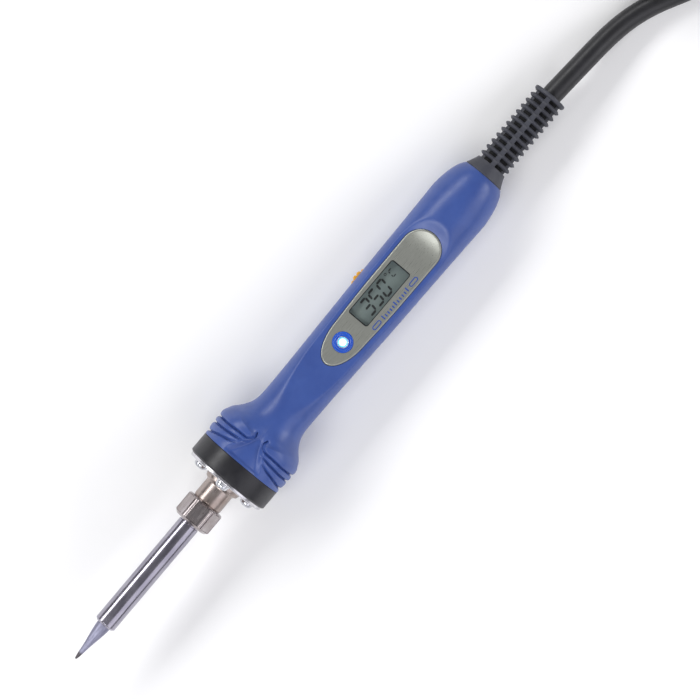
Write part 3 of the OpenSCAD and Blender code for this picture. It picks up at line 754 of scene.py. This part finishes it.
def make_pin():
    """The round earth pin, with a ball end."""
    root = PLUG_X + PLUG_LEN
    end = root + 17.6
    profile = [(root - 3, 0), (root - 3, PIN_R), (end, PIN_R)]
    profile += [(end + PIN_R * math.sin(a), PIN_R * math.cos(a)) for a in (0.3, 0.6, 0.9, 1.2, 1.45)]
    profile += [(end + PIN_R, 0)]
    centre = (PLUG_Y + PIN_Y, PLUG_Z)
    pin = turned("earth_pin", profile, "blade_brass", ROW, centre=centre, ease=0.05)
    return link(pin, "blade_brass", "plug_ground_pin")


def make_cord_and_plug():
    cord, length = make_cord()
    pieces = [make_plug_body(), make_plug_guard(), make_blades(), make_pin(), make_tie()]
    print("cord length", round(length, 4))


# ---------- tip, tube and nut ----------


def make_tip():
    cone = [(0, 0), (0.02, 0.2), (0.25, 0.36), (1.2, 0.58), (2.6, 0.8), (4.5, 1.02), (6.5, 1.3), (8.8, 1.72)]
    cone += [(11.3, 2.14), (13.7, 2.48), (TIP_REACH, 2.6)]
    sleeve = [(17, 2.6), (17, 3.2), (42.4, 3.2), (43, 2.6), (43, 2.1), (19, 2.1), (18, 0)]
    profile = cone + sleeve
    tip = turned("iron_tip", profile, "tip_plate", ease=0.1)
    return link(tip, "tip_plate", "soldering_tip", body="tip")


def make_tube():
    front = [(TIP_REACH, 2.75), (TIP_REACH, 3.2), (TIP_REACH + 0.7, TUBE_R), (NUT_X - 0.6, TUBE_R)]
    back = [(NUT_X - 0.6, 3.7), (NUT_X + 1.6, 3.7), (NUT_X + 1.6, 4.9)]
    back += [(NUT_X + 2.6, 4.9), (NUT_X + 2.6, 3.4)]
    profile = front + back + [(TIP_REACH + 1.2, 3.4), (TIP_REACH + 1.2, 2.75), (TIP_REACH, 2.75)]
    tube = turned("barrel_tube", profile, "tube_steel", segments=144, ease=0.15)
    return link(tube, "tube_steel", "tip_tube", body="tube")


def nut_radius(x, a):
    """Six flats with rounded shoulders between them, and a pair of fine grooves by each shoulder."""
    off_flat = (math.degrees(a) + 30) % 60 - 30
    end = NUT_X + NUT_LEN
    front = smooth(NUT_X + 0.75, NUT_X + 1.05, x) * (1 - smooth(end - 0.65, end - 0.4, x))
    r = NUT_R
    if abs(off_flat) < 24:
        flat = (NUT_R - 0.72) / math.cos(math.radians(off_flat))
        r = lerp(r, min(r, flat), front)
    for groove in (-25.2, 25.2):
        r -= 0.42 * front * math.exp(-(((off_flat - groove) / 1.5) ** 2))
    return r


def make_nut():
    end = NUT_X + NUT_LEN
    rows = [(NUT_X, NUT_R - 1.15), (NUT_X + 0.12, NUT_R - 0.95), (NUT_X + 0.9, NUT_R - 0.12)]
    rows += [(NUT_X + 1.05, None)]
    rows += [(lerp(NUT_X + 1.15, end - 0.7, k / 14), None) for k in range(15)]
    rows += [(end - 0.55, None), (end - 0.35, NUT_R - 0.1), (end, NUT_R - 0.45), (end, 5.25)]
    rows += [(NUT_X + 1.5, 5.25), (NUT_X + 1.5, TUBE_R + 0.1), (NUT_X, TUBE_R + 0.1)]
    points = []
    for x, r in rows:
        points += ring_row(x, r or (lambda a: nut_radius(x, a)), 360)
    faces = loop_faces(len(rows), 360)
    nut = mesh_piece("barrel_nut", points, faces, "nut_steel", smooth_angle=28)
    return link(nut, "nut_steel", "tube_nut", body="nut")


# ---------- front end ----------


def make_nipple():
    start, behind = NUT_X + 2.7, NUT_X + NUT_LEN + 0.3
    neck = [(start, 2.15), (start, 4.7), (NUT_X + 3.2, 5.2), (behind, 5.2), (behind, 5.45), (70.5, 5.55)]
    neck += [(76.6, 5.5), (77.0, 5.75), (77.4, 6.5), (77.8, 6.75)]
    neck += [(PLATE_X, 7.2), (PLATE_X, 4), (84, 4), (84, 2.15), (start, 2.15)]
    nipple = turned("barrel_socket", neck, "nipple_steel", segments=144, ease=0.2)
    return link(nipple, "nipple_steel", "nipple")


def make_plate():
    profile = [(PLATE_X, 4.2), (PLATE_X, PLATE_R - 0.35), (PLATE_X + 0.3, PLATE_R), (COLLAR_X, PLATE_R)]
    profile += [(COLLAR_X, 4.2), (PLATE_X, 4.2)]
    plate = turned("end_plate", profile, "plate_steel", segments=160)
    return link(plate, "plate_steel", "front_plate")


def screw_places():
    """(y, z) of the three screws: one at the top and two to the sides."""
    return [
        (SCREW_CIRCLE_R * math.cos(math.radians(a)), SCREW_CIRCLE_R * math.sin(math.radians(a)))
        for a in (90, 210, 330)
    ]


def make_washers():
    profile = [(PLATE_X, 1.5), (PLATE_X - 0.6, 1.5), (PLATE_X - 0.6, 2.55), (PLATE_X - 0.45, 2.7)]
    profile += [(PLATE_X, 2.7), (PLATE_X, 1.5)]
    washers = []
    for place in screw_places():
        washers.append(turned("washer", profile, "screw_steel", segments=48, centre=place, ease=0.08))
    return link(joined("washer_set", washers), "screw_steel", "plate_washers")


def make_screws():
    """Pan-head screws, each with a cross recess turned its own way."""
    head = PLATE_X - 0.6
    profile = [(head - 1.7, 0), (head - 1.68, 0.9), (head - 1.5, 1.6), (head - 1.05, 2.2), (head - 0.5, 2.4)]
    profile += [(head, 2.4), (head, 1.25), (head + 8, 1.25), (head + 9, 0)]
    slot = [(-1.35, -0.24), (1.35, -0.24), (1.35, 0.24), (-1.35, 0.24)]
    screws = []
    for index, (y, z) in enumerate(screw_places()):
        screw = turned("screw", profile, "screw_steel", segments=48, centre=(y, z), ease=0.1)
        for quarter in (0, 90):
            a = math.radians(20 + 47 * index + quarter)
            turn = Matrix.Rotation(a, 4, "X") @ Matrix.Rotation(math.pi / 2, 4, "Y")
            spin = Matrix.Translation((0, y, z)) @ turn
            screw = cut_away(screw, *prism(slot, head - 2, head - 0.9), place=REST @ spin)
        shade(screw.data, 38)
        screws.append(screw)
    return link(joined("plate_screw_set", screws), "screw_steel", "plate_screws")


def make_collar():
    back = SHELL_X - 0.05
    profile = [(COLLAR_X, 5), (COLLAR_X, COLLAR_R - 0.55), (COLLAR_X + 0.5, COLLAR_R)]
    profile += [(SHELL_X - 0.25, COLLAR_R), (back, COLLAR_R - 0.2), (back, 15)]
    profile += [(COLLAR_X + 2, 15), (COLLAR_X + 2, 5), (COLLAR_X, 5)]
    collar = turned("front_ring", profile, "collar_black", segments=160)
    return link(collar, "collar_black", "front_collar")


# ---------- handle ----------

# Half width of the handle seen from above, along its length
OUTLINE = [
    (SHELL_X, 16.0), (91, 16.3), (94, 16.5), (97.3, 16.5), (98.3, 16.35), (99.6, 15.75), (101.3, 14.8),
    (103.3, 13.0), (105.4, 11.5), (107.4, 10.55), (109.5, 10.05), (112, 9.87), (119, 9.88), (126, 9.97),
    (140.4, 10.3), (158.9, 10.7), (175.4, 10.92), (196, 11.25), (203.6, 11.4), (206.3, 11.22),
    (208.4, 10.93), (210.4, 10.55), (212.5, 10.0), (214.6, 9.2), (216, 8.4), (SHELL_END_X, 7.8),
]
# Height of the flat on top of the handle, which fades out into the round neck
TOP = [(107, 10.6), (111, 9.85), (115, 9.15), (120, 8.35), (126, 7.62), (132, 7.24), (137, FLAT_Z)]
# Half width, and height above the axis, of the hollow between the finger guard's two lobes
VALLEY_HALF = [(88, 6.4), (90.5, 5.2), (93, 3.9), (96, 2.3), (98.5, 1.3), (101, 1.3)]
VALLEY_FLOOR = [
    (88, 15.1), (92, 13.9), (96, 12.6), (99, 11.7), (102, 11.0), (105, 10.35), (108, 10.0), (112, 9.87),
]
# Creases of the finger guard as (x, arc from the top), mirrored to the other side and underneath
CREASES = [
    [(89.75, 26), (90.1, 19), (90.9, 14.2), (91.8, 9.4), (92.7, 6.6)],
    [(93.3, 26), (93.4, 19), (93.6, 13.8), (94.1, 8.8), (94.8, 4.4)],
    [(95.9, 26), (95.9, 19), (95.95, 13.2), (96.3, 8), (96.45, 4.3), (97.3, 2.9), (98.6, 2.35), (99.9, 3)],
]


def top_height(x):
    """Height above the axis of the flat that carries the display, rising behind it."""
    if x > SCOOP_X:
        rise = min(x - SCOOP_X, SCOOP_R * 0.98)
        return FLAT_Z + SCOOP_R - math.sqrt(SCOOP_R**2 - rise**2)
    if x < TOP[0][0]:
        return 20
    return curve_value(TOP, x)


def segment_distance(px, py, a, b):
    dx, dy = b[0] - a[0], b[1] - a[1]
    t = min(max(((px - a[0]) * dx + (py - a[1]) * dy) / (dx * dx + dy * dy), 0), 1)
    return math.hypot(px - a[0] - t * dx, py - a[1] - t * dy)


def crease_depth(x, arc):
    """How far the finger guard's creases cut in at a point, deeper at the last crease's inner end."""
    depth = 0
    for index, line in enumerate(CREASES):
        near = min(segment_distance(x, arc, a, b) for a, b in zip(line, line[1:]))
        if near > 2.5:
            continue
        fade = 1 - 0.5 * smooth(line[-1][1] + 4, line[-1][1], arc) if index < 2 else 1
        cut = math.exp(-((near / 0.33) ** 2)) + 0.24 * math.exp(-(near**2))
        depth = max(depth, fade * cut)
    return depth


def guard_radius(x, a, full):
    """The finger guard: two lobes to the sides, with a sloping hollow between them above and below."""
    side = min(a, math.pi - a)
    arc = COLLAR_R * side
    floor = min(curve_value(VALLEY_FLOOR, x), full)
    lobe = lerp(floor, full, 0.6 + 0.4 * smooth(0, 0.85, side))
    half = curve_value(VALLEY_HALF, x)
    open_out = smooth(97.8, 101.5, x)
    edge = lerp(half - 0.3, -6, open_out)
    r = lerp(floor, lerp(lobe, full, open_out), smooth(edge, lerp(half + 2.2, 15, open_out), arc))
    rim = smooth(SHELL_X, SHELL_X + 1.6, x)
    r = lerp(lerp(full, r, 0.35), r, rim) if x < SHELL_X + 1.6 else r
    return r - crease_depth(x, arc)


def handle_radius(x, a):
    """Distance from the axis to the handle's skin; a is the angle from straight up, either way."""
    full = curve_value(OUTLINE, x)
    if x < 110:
        blend = smooth(106, 110, x)
        if blend < 1:
            full = lerp(guard_radius(x, a, full), full, blend)
    power = 2 + 0.2 * smooth(112, 140, x) * (1 - smooth(196, 208, x))
    c, s = abs(math.cos(a)), abs(math.sin(a))
    r = full * (c**power + s**power) ** (-1 / power)
    if math.cos(a) > 0.05:
        flat = top_height(x) / math.cos(a)
        soft = 0.22
        if flat < r + 4 * soft:
            r = -soft * math.log(math.exp(-r / soft) + math.exp(-flat / soft))
    return r


def handle_stations():
    fine = [SHELL_X + 0.14 * k for k in range(int(14 / 0.14))]
    slope = [fine[-1] + 0.3 * k for k in range(1, 34)]
    body = [lerp(slope[-1] + 0.8, 203, k / 100) for k in range(101)]
    end = [lerp(203.4, SHELL_END_X, k / 40) for k in range(41)]
    return fine + slope + body + end


def half_shell(name, low):
    """Half of the handle, from angle low on round half a turn, with a wall and a rim at the joint."""
    columns = 181
    stations = handle_stations()
    skin, lining = [], []
    for x in stations:
        for k in range(columns):
            a = low + math.pi * k / (columns - 1)
            folded = abs((a + math.pi) % math.tau - math.pi)
            edge = min(k, columns - 1 - k) * math.pi / (columns - 1) * 10
            r = handle_radius(x, folded) - 0.14 * math.exp(-((edge / 0.22) ** 2))
            skin.append((x, r * math.sin(a), r * math.cos(a)))
            r = r - WALL - (0.5 if x < 104 else 0)
            if x > 118 and math.cos(a) > 0.05:
                r = min(r, 5.3 / math.cos(a))
            lining.append((x, r * math.sin(a), r * math.cos(a)))
    rows = len(stations)
    count = rows * columns
    outer = grid_faces(rows, columns)
    inner = [tuple(v + count for v in reversed(face)) for face in outer]
    rims = []
    for i in range(rows - 1):
        for j in (0, columns - 1):
            p, q = i * columns + j, (i + 1) * columns + j
            rims.append((p, q, q + count, p + count))
    for i in (0, rows - 1):
        for j in range(columns - 1):
            p = i * columns + j
            rims.append((p, p + 1, p + 1 + count, p + count))
    return mesh_piece(name, skin + lining, outer + inner + rims, "handle_blue", smooth_angle=50)


def panel_plan(inset=0.0, steps=14):
    """Outline of the display panel: a blunt nose, nearly straight sides and a round back."""
    half = PANEL_W / 2 - inset
    nose_x = PANEL_X + inset
    tail_x = PANEL_X + PANEL_LEN - PANEL_W / 2
    plan = []
    for k in range(-steps, steps + 1):
        a = math.pi / 2 * k / steps
        plan.append((nose_x + 13.5 * (1 - math.cos(a)), half * 0.9 * math.sin(a)))
    plan.append((153, half * 0.945))
    plan.append((162, half * 0.985))
    for k in range(2 * steps + 1):
        a = math.pi / 2 - math.pi * k / (2 * steps)
        plan.append((tail_x + half * math.cos(a), half * math.sin(a)))
    plan.append((162, -half * 0.985))
    plan.append((153, -half * 0.945))
    return plan


def rounded_plan(x, y, length, width, radius, steps=6):
    """Plan of a rectangle with rounded corners, centred on a point."""
    plan = []
    for sx, sy, start in ((1, 1, 0), (-1, 1, 90), (-1, -1, 180), (1, -1, 270)):
        for k in range(steps + 1):
            a = math.radians(start + 90 * k / steps)
            cx, cy = x + sx * (length / 2 - radius), y + sy * (width / 2 - radius)
            plan.append((cx + radius * math.cos(a), cy + radius * math.sin(a)))
    return plan


def window_plan(grow=0.0):
    return rounded_plan(WINDOW_X, WINDOW_Y, WINDOW_LEN + 2 * grow, WINDOW_W + 2 * grow, 1 + grow)


def make_shells():
    dial = prism(circle(DIAL_X, DIAL_Y, DIAL_R + 0.4), DIAL_Z - 0.4, DIAL_Z + DIAL_THICK + 0.4)
    upper = half_shell("shell_top", -math.pi / 2)
    upper = cut_away(upper, *prism(panel_plan(-0.16), 6.3, 14))
    upper = cut_away(upper, *prism(window_plan(0.05), 4, 7))
    upper = cut_away(upper, *prism(circle(LAMP_X, 0, 2), 4, 7))
    upper = cut_away(upper, *dial)
    lower = cut_away(half_shell("shell_bottom", math.pi / 2), *dial)
    for x, y in ((121, 0), (202.8, 6.2), (202.8, -6.2)):
        lower = cut_away(lower, *prism(circle(x, y, 2, 40), -20, -5.2))
    for shell, node in ((upper, "upper_shell"), (lower, "lower_shell")):
        shade(shell.data, 50)
        link(shell, "handle_blue", node)


# ---------- display ----------


def filled_plan(outlines, holes, spacing):
    """Points and triangles of a flat mesh between nested outlines and holes, with points spread inside."""
    verts = []
    edges = []
    for plan in [*outlines, *holes]:
        first = len(verts)
        verts += [Vector(p) for p in plan]
        edges += [(first + k, first + (k + 1) % len(plan)) for k in range(len(plan))]
    outer = outlines[-1]
    x = PANEL_X
    while x < PANEL_X + PANEL_LEN:
        y = -PANEL_W / 2
        while y < PANEL_W / 2:
            here = (x, y)
            if inside(here, outer, 0.25) and not any(inside(here, hole, -0.25) for hole in holes):
                verts.append(Vector(here))
            y += spacing
        x += spacing
    found = geometry.delaunay_2d_cdt(verts, edges, [], 0, 1e-6)
    flat, triangles = found[0], found[2]
    kept = []
    for tri in triangles:
        middle = (sum(flat[v][0] for v in tri) / 3, sum(flat[v][1] for v in tri) / 3)
        if inside(middle, outlines[0], 0) and not any(inside(middle, hole, 0) for hole in holes):
            kept.append(tuple(tri))
    return flat, kept


def inside(point, plan, margin):
    """True if a point is in a plan outline by more than margin."""
    x, y = point
    odd = False
    near = 1e9
    for a, b in zip(plan, plan[1:] + plan[:1]):
        if (a[1] > y) != (b[1] > y) and x < (b[0] - a[0]) * (y - a[1]) / (b[1] - a[1]) + a[0]:
            odd = not odd
        if margin:
            near = min(near, segment_distance(x, y, a, b))
    if margin < 0:
        return odd or near < -margin
    return odd and (not margin or near > margin)


def edge_distance(x, y, plan):
    return min(segment_distance(x, y, a, b) for a, b in zip(plan, plan[1:] + plan[:1]))


PANEL_RAISE = 0.12


def make_panel():
    """The thin cover round the display, its edge rolled over and its back swept up with the handle."""
    insets = [0.0, 0.1, 0.25, 0.45, 0.75]
    outlines = [panel_plan(i) for i in insets]
    holes = [window_plan(0.0), circle(LAMP_X, 0, LAMP_RING_R + 0.05, 56)]
    flat, triangles = filled_plan(outlines, holes, 1.3)
    top = []
    for x, y in flat:
        d = edge_distance(x, y, outlines[0])
        roll = 0.28 * max(0.0, 1 - d / 0.6) ** 2
        hole = min(edge_distance(x, y, hole) for hole in holes)
        top.append((x, y, top_height(x) + PANEL_RAISE - roll - 0.06 * max(0.0, 1 - hole / 0.3)))
    bottom = [(x, y, 6.35) for x, y in flat]
    count = len(top)
    used = {}
    for tri in triangles:
        for a, b in ((tri[0], tri[1]), (tri[1], tri[2]), (tri[2], tri[0])):
            key = (min(a, b), max(a, b))
            used[key] = used.get(key, 0) + 1
    walls = [(a, b, b + count, a + count) for (a, b), n in used.items() if n == 1]
    faces = [*triangles, *(tuple(v + count for v in reversed(t)) for t in triangles), *walls]
    panel = mesh_piece("display_cover", top + bottom, faces, "panel_grey", smooth_angle=40)
    return link(joined("display_cover", [panel, make_print()]), "panel_grey", "display_panel")


def make_print():
    """A printed row of scale marks between two small outline capsules, below the window."""
    base = -5.95
    outlines = []
    for k in range(11):
        left, right = 157.6 + 1.25 * k - 0.24, 157.6 + 1.25 * k + 0.24
        top = base + (1.7 if k % 5 == 0 else 1.1)
        outlines.append([(left, base), (right, base), (right, top), (left, top)])
    for x in (154.2, 173.6):
        outlines += band(rounded_plan(x, -5.15, 4.0, 1.6, 0.79), rounded_plan(x, -5.15, 3.3, 0.9, 0.44))
    z = FLAT_Z + PANEL_RAISE
    return blocks("print", outlines, z - 0.02, z + 0.015, "print_blue")


SEGMENTS = {
    "3": "abcdg",
    "5": "acdfg",
    "0": "abcdef",
    "c": "adef",
}


def digit_outlines(character, x, y, high, wide, thick):
    """Outlines of a seven-segment character that leans to the right; x and y are its lower left."""
    bar = thick / 2
    near, far = 0.09 + bar, 0.09 + 2 * bar
    mid = high / 2
    across = {"a": high - bar, "g": mid, "d": bar}
    upright = {"f": (0, mid, high), "b": (1, mid, high), "e": (0, 0, mid), "c": (1, 0, mid)}
    outlines = []
    for segment in SEGMENTS[character]:
        if segment in across:
            v = across[segment]
            outline = [(near, v), (far, v + bar), (wide - far, v + bar)]
            outline += [(wide - near, v), (wide - far, v - bar), (far, v - bar)]
        else:
            side, low, top = upright[segment]
            u = wide - bar if side else bar
            outline = [(u, low + near), (u - bar, low + far), (u - bar, top - far)]
            outline += [(u, top - near), (u + bar, top - far), (u + bar, low + far)]
        outlines.append([(x + u + 0.14 * v, y + v) for u, v in outline])
    return outlines


def make_display():
    """The glass with the temperature it shows, and a dark mask round the part that can be read."""
    top = 5.2
    face = blocks("face", [rounded_plan(WINDOW_X, WINDOW_Y, 26.8, 10.4, 0.2, 2)], 4.2, top, "lcd_grey", 20)
    shown = []
    for character, x in (("3", 154.9), ("5", 159.1), ("0", 163.4)):
        shown += digit_outlines(character, x, WINDOW_Y - 3.2, 6.4, 3.5, 0.78)
    shown += digit_outlines("c", 170.2, WINDOW_Y - 0.2, 3.0, 1.9, 0.42)
    degree = (169.3, WINDOW_Y + 2.7)
    shown += band(circle(*degree, 0.5, 20), circle(*degree, 0.28, 20))
    digits = blocks("digits", shown, top - 0.01, top + 0.03, "segment_dark", 20)
    outer = rounded_plan(WINDOW_X, WINDOW_Y, 26.6, 10.2, 0.3)
    inner = rounded_plan(WINDOW_X, WINDOW_Y, 22.8, 7.9, 0.5)
    mask = blocks("mask", band(outer, inner), top - 0.01, top + 0.05, "segment_dark", 20)
    return link(joined("lcd_face", [face, digits, mask]), "lcd_grey", "lcd_glass")


def make_window():
    """The clear cover that closes the opening, a little below the panel's face."""
    points, faces = prism(window_plan(-0.02), 5.5, FLAT_Z - 0.15)
    pane = mesh_piece("display_pane", points, faces, "window_clear", smooth_angle=30)
    return link(pane, "window_clear", "display_window")


def make_lamp():
    """The lamp's blue ring, with a groove round its face, and the lit lens in it."""
    top = FLAT_Z + PANEL_RAISE
    upright = {"centre": (LAMP_X, 0), "upright": True}
    profile = [(6.35, LAMP_R + 0.08), (6.35, LAMP_RING_R), (top, LAMP_RING_R)]
    profile += [(top + 0.16, LAMP_RING_R - 0.2), (top + 0.18, 3.15), (top + 0.02, 3.0)]
    profile += [(top + 0.02, 2.8), (top + 0.14, 2.65)]
    profile += [(top + 0.05, LAMP_R + 0.35), (top - 0.1, LAMP_R + 0.08), (6.35, LAMP_R + 0.08)]
    ring = turned("lamp_bezel", profile, "ring_blue", ease=0.06, **upright)
    profile = [(top + 0.02, 1.62), (top + 0.18, 1.72), (top + 0.2, 1.95), (top + 0.1, 2.08)]
    profile += [(top - 0.1, 2.0), (top + 0.02, 1.62)]
    liner = turned("lamp_liner", profile, "bezel_bright", ease=0.04, **upright)
    link(joined("lamp_bezel", [ring, liner]), "ring_blue", "indicator_ring")
    profile = [(5.9, 0), (5.9, LAMP_R), (top - 0.05, LAMP_R), (top + 0.12, LAMP_R * 0.8)]
    profile += [(top + 0.2, LAMP_R * 0.45), (top + 0.23, 0)]
    lens = turned("lamp_lens", profile, "lens_clear", segments=48, **upright)
    link(lens, "lens_clear", "indicator_lens")


# ---------- dial ----------


def make_dial():
    """A thumb wheel with rounded teeth and eased edges."""
    per_tooth = 12
    count = DIAL_TEETH * per_tooth
    low, high = DIAL_Z, DIAL_Z + DIAL_THICK
    levels = [(low, 0.32), (low + 0.12, 0.1), (low + 0.32, 0), (high - 0.32, 0), (high - 0.12, 0.1)]
    points = []
    for z, inset in [*levels, (high, 0.32), (high, None), (low, None)]:
        for k in range(count):
            a = math.tau * k / count
            r = 1.52
            if inset is not None:
                phase = (k / per_tooth) % 1 - 0.5
                r = DIAL_R - 0.55 * math.exp(-((phase / 0.17) ** 2)) - inset
            points.append((DIAL_X + r * math.cos(a), DIAL_Y + r * math.sin(a), z))
    faces = loop_faces(8, count)
    dial = mesh_piece("thumb_wheel", points, faces, "dial_yellow", smooth_angle=40)
    return link(dial, "dial_yellow", "temperature_dial", body="dial")


# ---------- cord guard ----------

SLOT_X = 222.1
CORE_R = 4.0


def guard_row(x, slot, peak):
    """One ring of the cord guard: in a slot, only the two spines stand out from the core."""

    def radius(a):
        across = abs(math.sin(a))
        rib = lerp(CORE_R, 4.9, smooth(0.86, 0.99, across)) if slot else peak
        return lerp(rib, max(rib, 5.85), 1 - smooth(0.95, 1.35, across * RIB_R))

    return ring_row(x, radius, 180)


def make_guard():
    """The rubber sleeve: a cone at the handle, twelve slots between two spines, and an end ring."""
    inner = CORD_R + 0.02
    start = SHELL_END_X
    head = [(start - 4.4, inner), (start - 4.4, 6.0), (start + 0.05, 6.0), (start + 0.05, 7.5)]
    head += [(start + 0.4, 7.6), (start + 1.6, 7.0), (start + 3.1, 6.3), (start + 4.2, 5.85)]
    rows = [ring_row(x, r, 180) for x, r in [*head, (SLOT_X - 0.72, 5.8)]]
    for i in range(SLOTS):
        x = SLOT_X + SLOT_PITCH * i
        for step, slot, peak in ((-0.66, False, 5.5), (-0.6, True, 0), (0.6, True, 0), (0.66, False, 5.5)):
            rows.append(guard_row(x + step, slot, peak))
        if i < SLOTS - 1:
            for step, peak in ((1.0, 5.95), (SLOT_PITCH / 2, 6.15), (SLOT_PITCH - 1.0, 5.95)):
                rows.append(guard_row(x + step, False, peak))
    tail = [(251.5, 5.7), (251.8, 6.1), (252.2, RIB_R - 0.15), (252.6, RIB_R - 0.15), (252.9, 6.05)]
    tail += [(GUARD_END_X, 5.6), (GUARD_END_X, inner)]
    rows += [ring_row(x, r, 180) for x, r in tail]
    points = [p for row in rows for p in row]
    faces = loop_faces(len(rows), 180)
    guard = mesh_piece("cord_sleeve", points, faces, "guard_rubber", smooth_angle=35)
    # The slot floors take a near-black finish: the black cord under the slots, darkened further by painted
    # shade of the deep slots
    guard.data.materials.append(finish_of("slot_shade"))
    for face in guard.data.polygons:
        x, y, z = REST.inverted() @ face.center
        if SLOT_X - 1 < x < 252 and math.hypot(y, z) < CORE_R + 0.2:
            face.material_index = 1
    return link(guard, "guard_rubber", "cord_guard")


# ---------- pieces that stay as the model has them ----------

KEPT = {
    "ground_spring": "spring_steel",
    "heater_base": "ceramic_base",
    "heater_rod": "ceramic_heater",
    "heater_leads": "lead_red",
    "sensor_leads": "lead_blue",
    "shell_screws": "shell_screw_steel",
    "lcd_contacts": "contact_rubber",
    "indicator_led": "lens_led",
    "circuit_board": "board_green",
    "control_chip": "chip_black",
    "triac": "chip_black",
    "film_capacitor": "capacitor_brown",
    "fuse": "fuse_glass",
    "heater_connector": "connector_cream",
    "mains_terminal": "terminal_blue",
    "dial_potentiometer": "pot_dark",
    "dial_shaft": "shaft_steel",
    "mains_leads": "wire_brown",
    "cord_clamp": "clamp_steel",
    "clamp_screws": "clamp_steel",
    "inner_cord": "cord_black",
}


def finish_kept_nodes():
    for node, slot in KEPT.items():
        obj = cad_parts[node]
        if not obj.material_slots:
            obj.data.materials.append(finish_of(slot))
        for place in obj.material_slots:
            place.material = finish_of(slot)


# ---------- studio ----------


def make_floor():
    s = Surface("floor_white", roughness=0.9)
    dark, light = (0.93, 0.93, 0.93, 1), (0.95, 0.95, 0.95, 1)
    s.set("Base Color", s.ramp(s.noise(120, detail=2), (0.3, dark), (0.7, light)))
    mesh = bpy.data.meshes.new("floor")
    mesh.from_pydata([(-3, -3, 0), (3, -3, 0), (3, 3, 0), (-3, 3, 0)], [], [(0, 1, 2, 3)])
    mesh.materials.append(s.material)
    floor = bpy.data.objects.new("floor", mesh)
    bpy.context.scene.collection.objects.link(floor)


def softbox(name, place, aim, size, power, colour=(1, 1, 1)):
    """A soft rectangular light at a place, in metres, that faces aim."""
    data = bpy.data.lights.new(name, "AREA")
    data.shape = "RECTANGLE"
    data.size, data.size_y = size
    data.energy = power
    data.color = colour
    lamp = bpy.data.objects.new(name, data)
    facing = (Vector(place) - Vector(aim)).to_track_quat("Z", "Y")
    lamp.matrix_world = Matrix.Translation(place) @ facing.to_matrix().to_4x4()
    bpy.context.scene.collection.objects.link(lamp)


def make_lights():
    aim = (0, 0, 0.02)
    softbox("key", (0, 0.9, 0.72), aim, (2.0, 0.3), 11)
    softbox("fill", (0, -1.0, 0.8), aim, (2.2, 1.0), 8, (0.95, 0.94, 1.0))
    softbox("front", (-0.75, 0.0, 1.1), aim, (0.7, 0.45), 6)
    softbox("back", (1.0, -0.8, 0.6), aim, (0.7, 0.4), 5)
    world = bpy.data.worlds.new("studio")
    world.use_nodes = True
    sky = world.node_tree.nodes["Background"]
    sky.inputs["Color"].default_value = (0.9, 0.9, 0.95, 1)
    sky.inputs["Strength"].default_value = 0.26
    bpy.context.scene.world = world
    bpy.context.scene.view_settings.view_transform = "Standard"


# ---------- build ----------

make_camera()
make_cord_and_plug()
make_tip()
make_tube()
make_nut()
make_nipple()
make_plate()
make_washers()
make_screws()
make_collar()
make_shells()
make_panel()
make_display()
make_window()
make_lamp()
make_dial()
make_guard()
finish_kept_nodes()
make_floor()
make_lights()
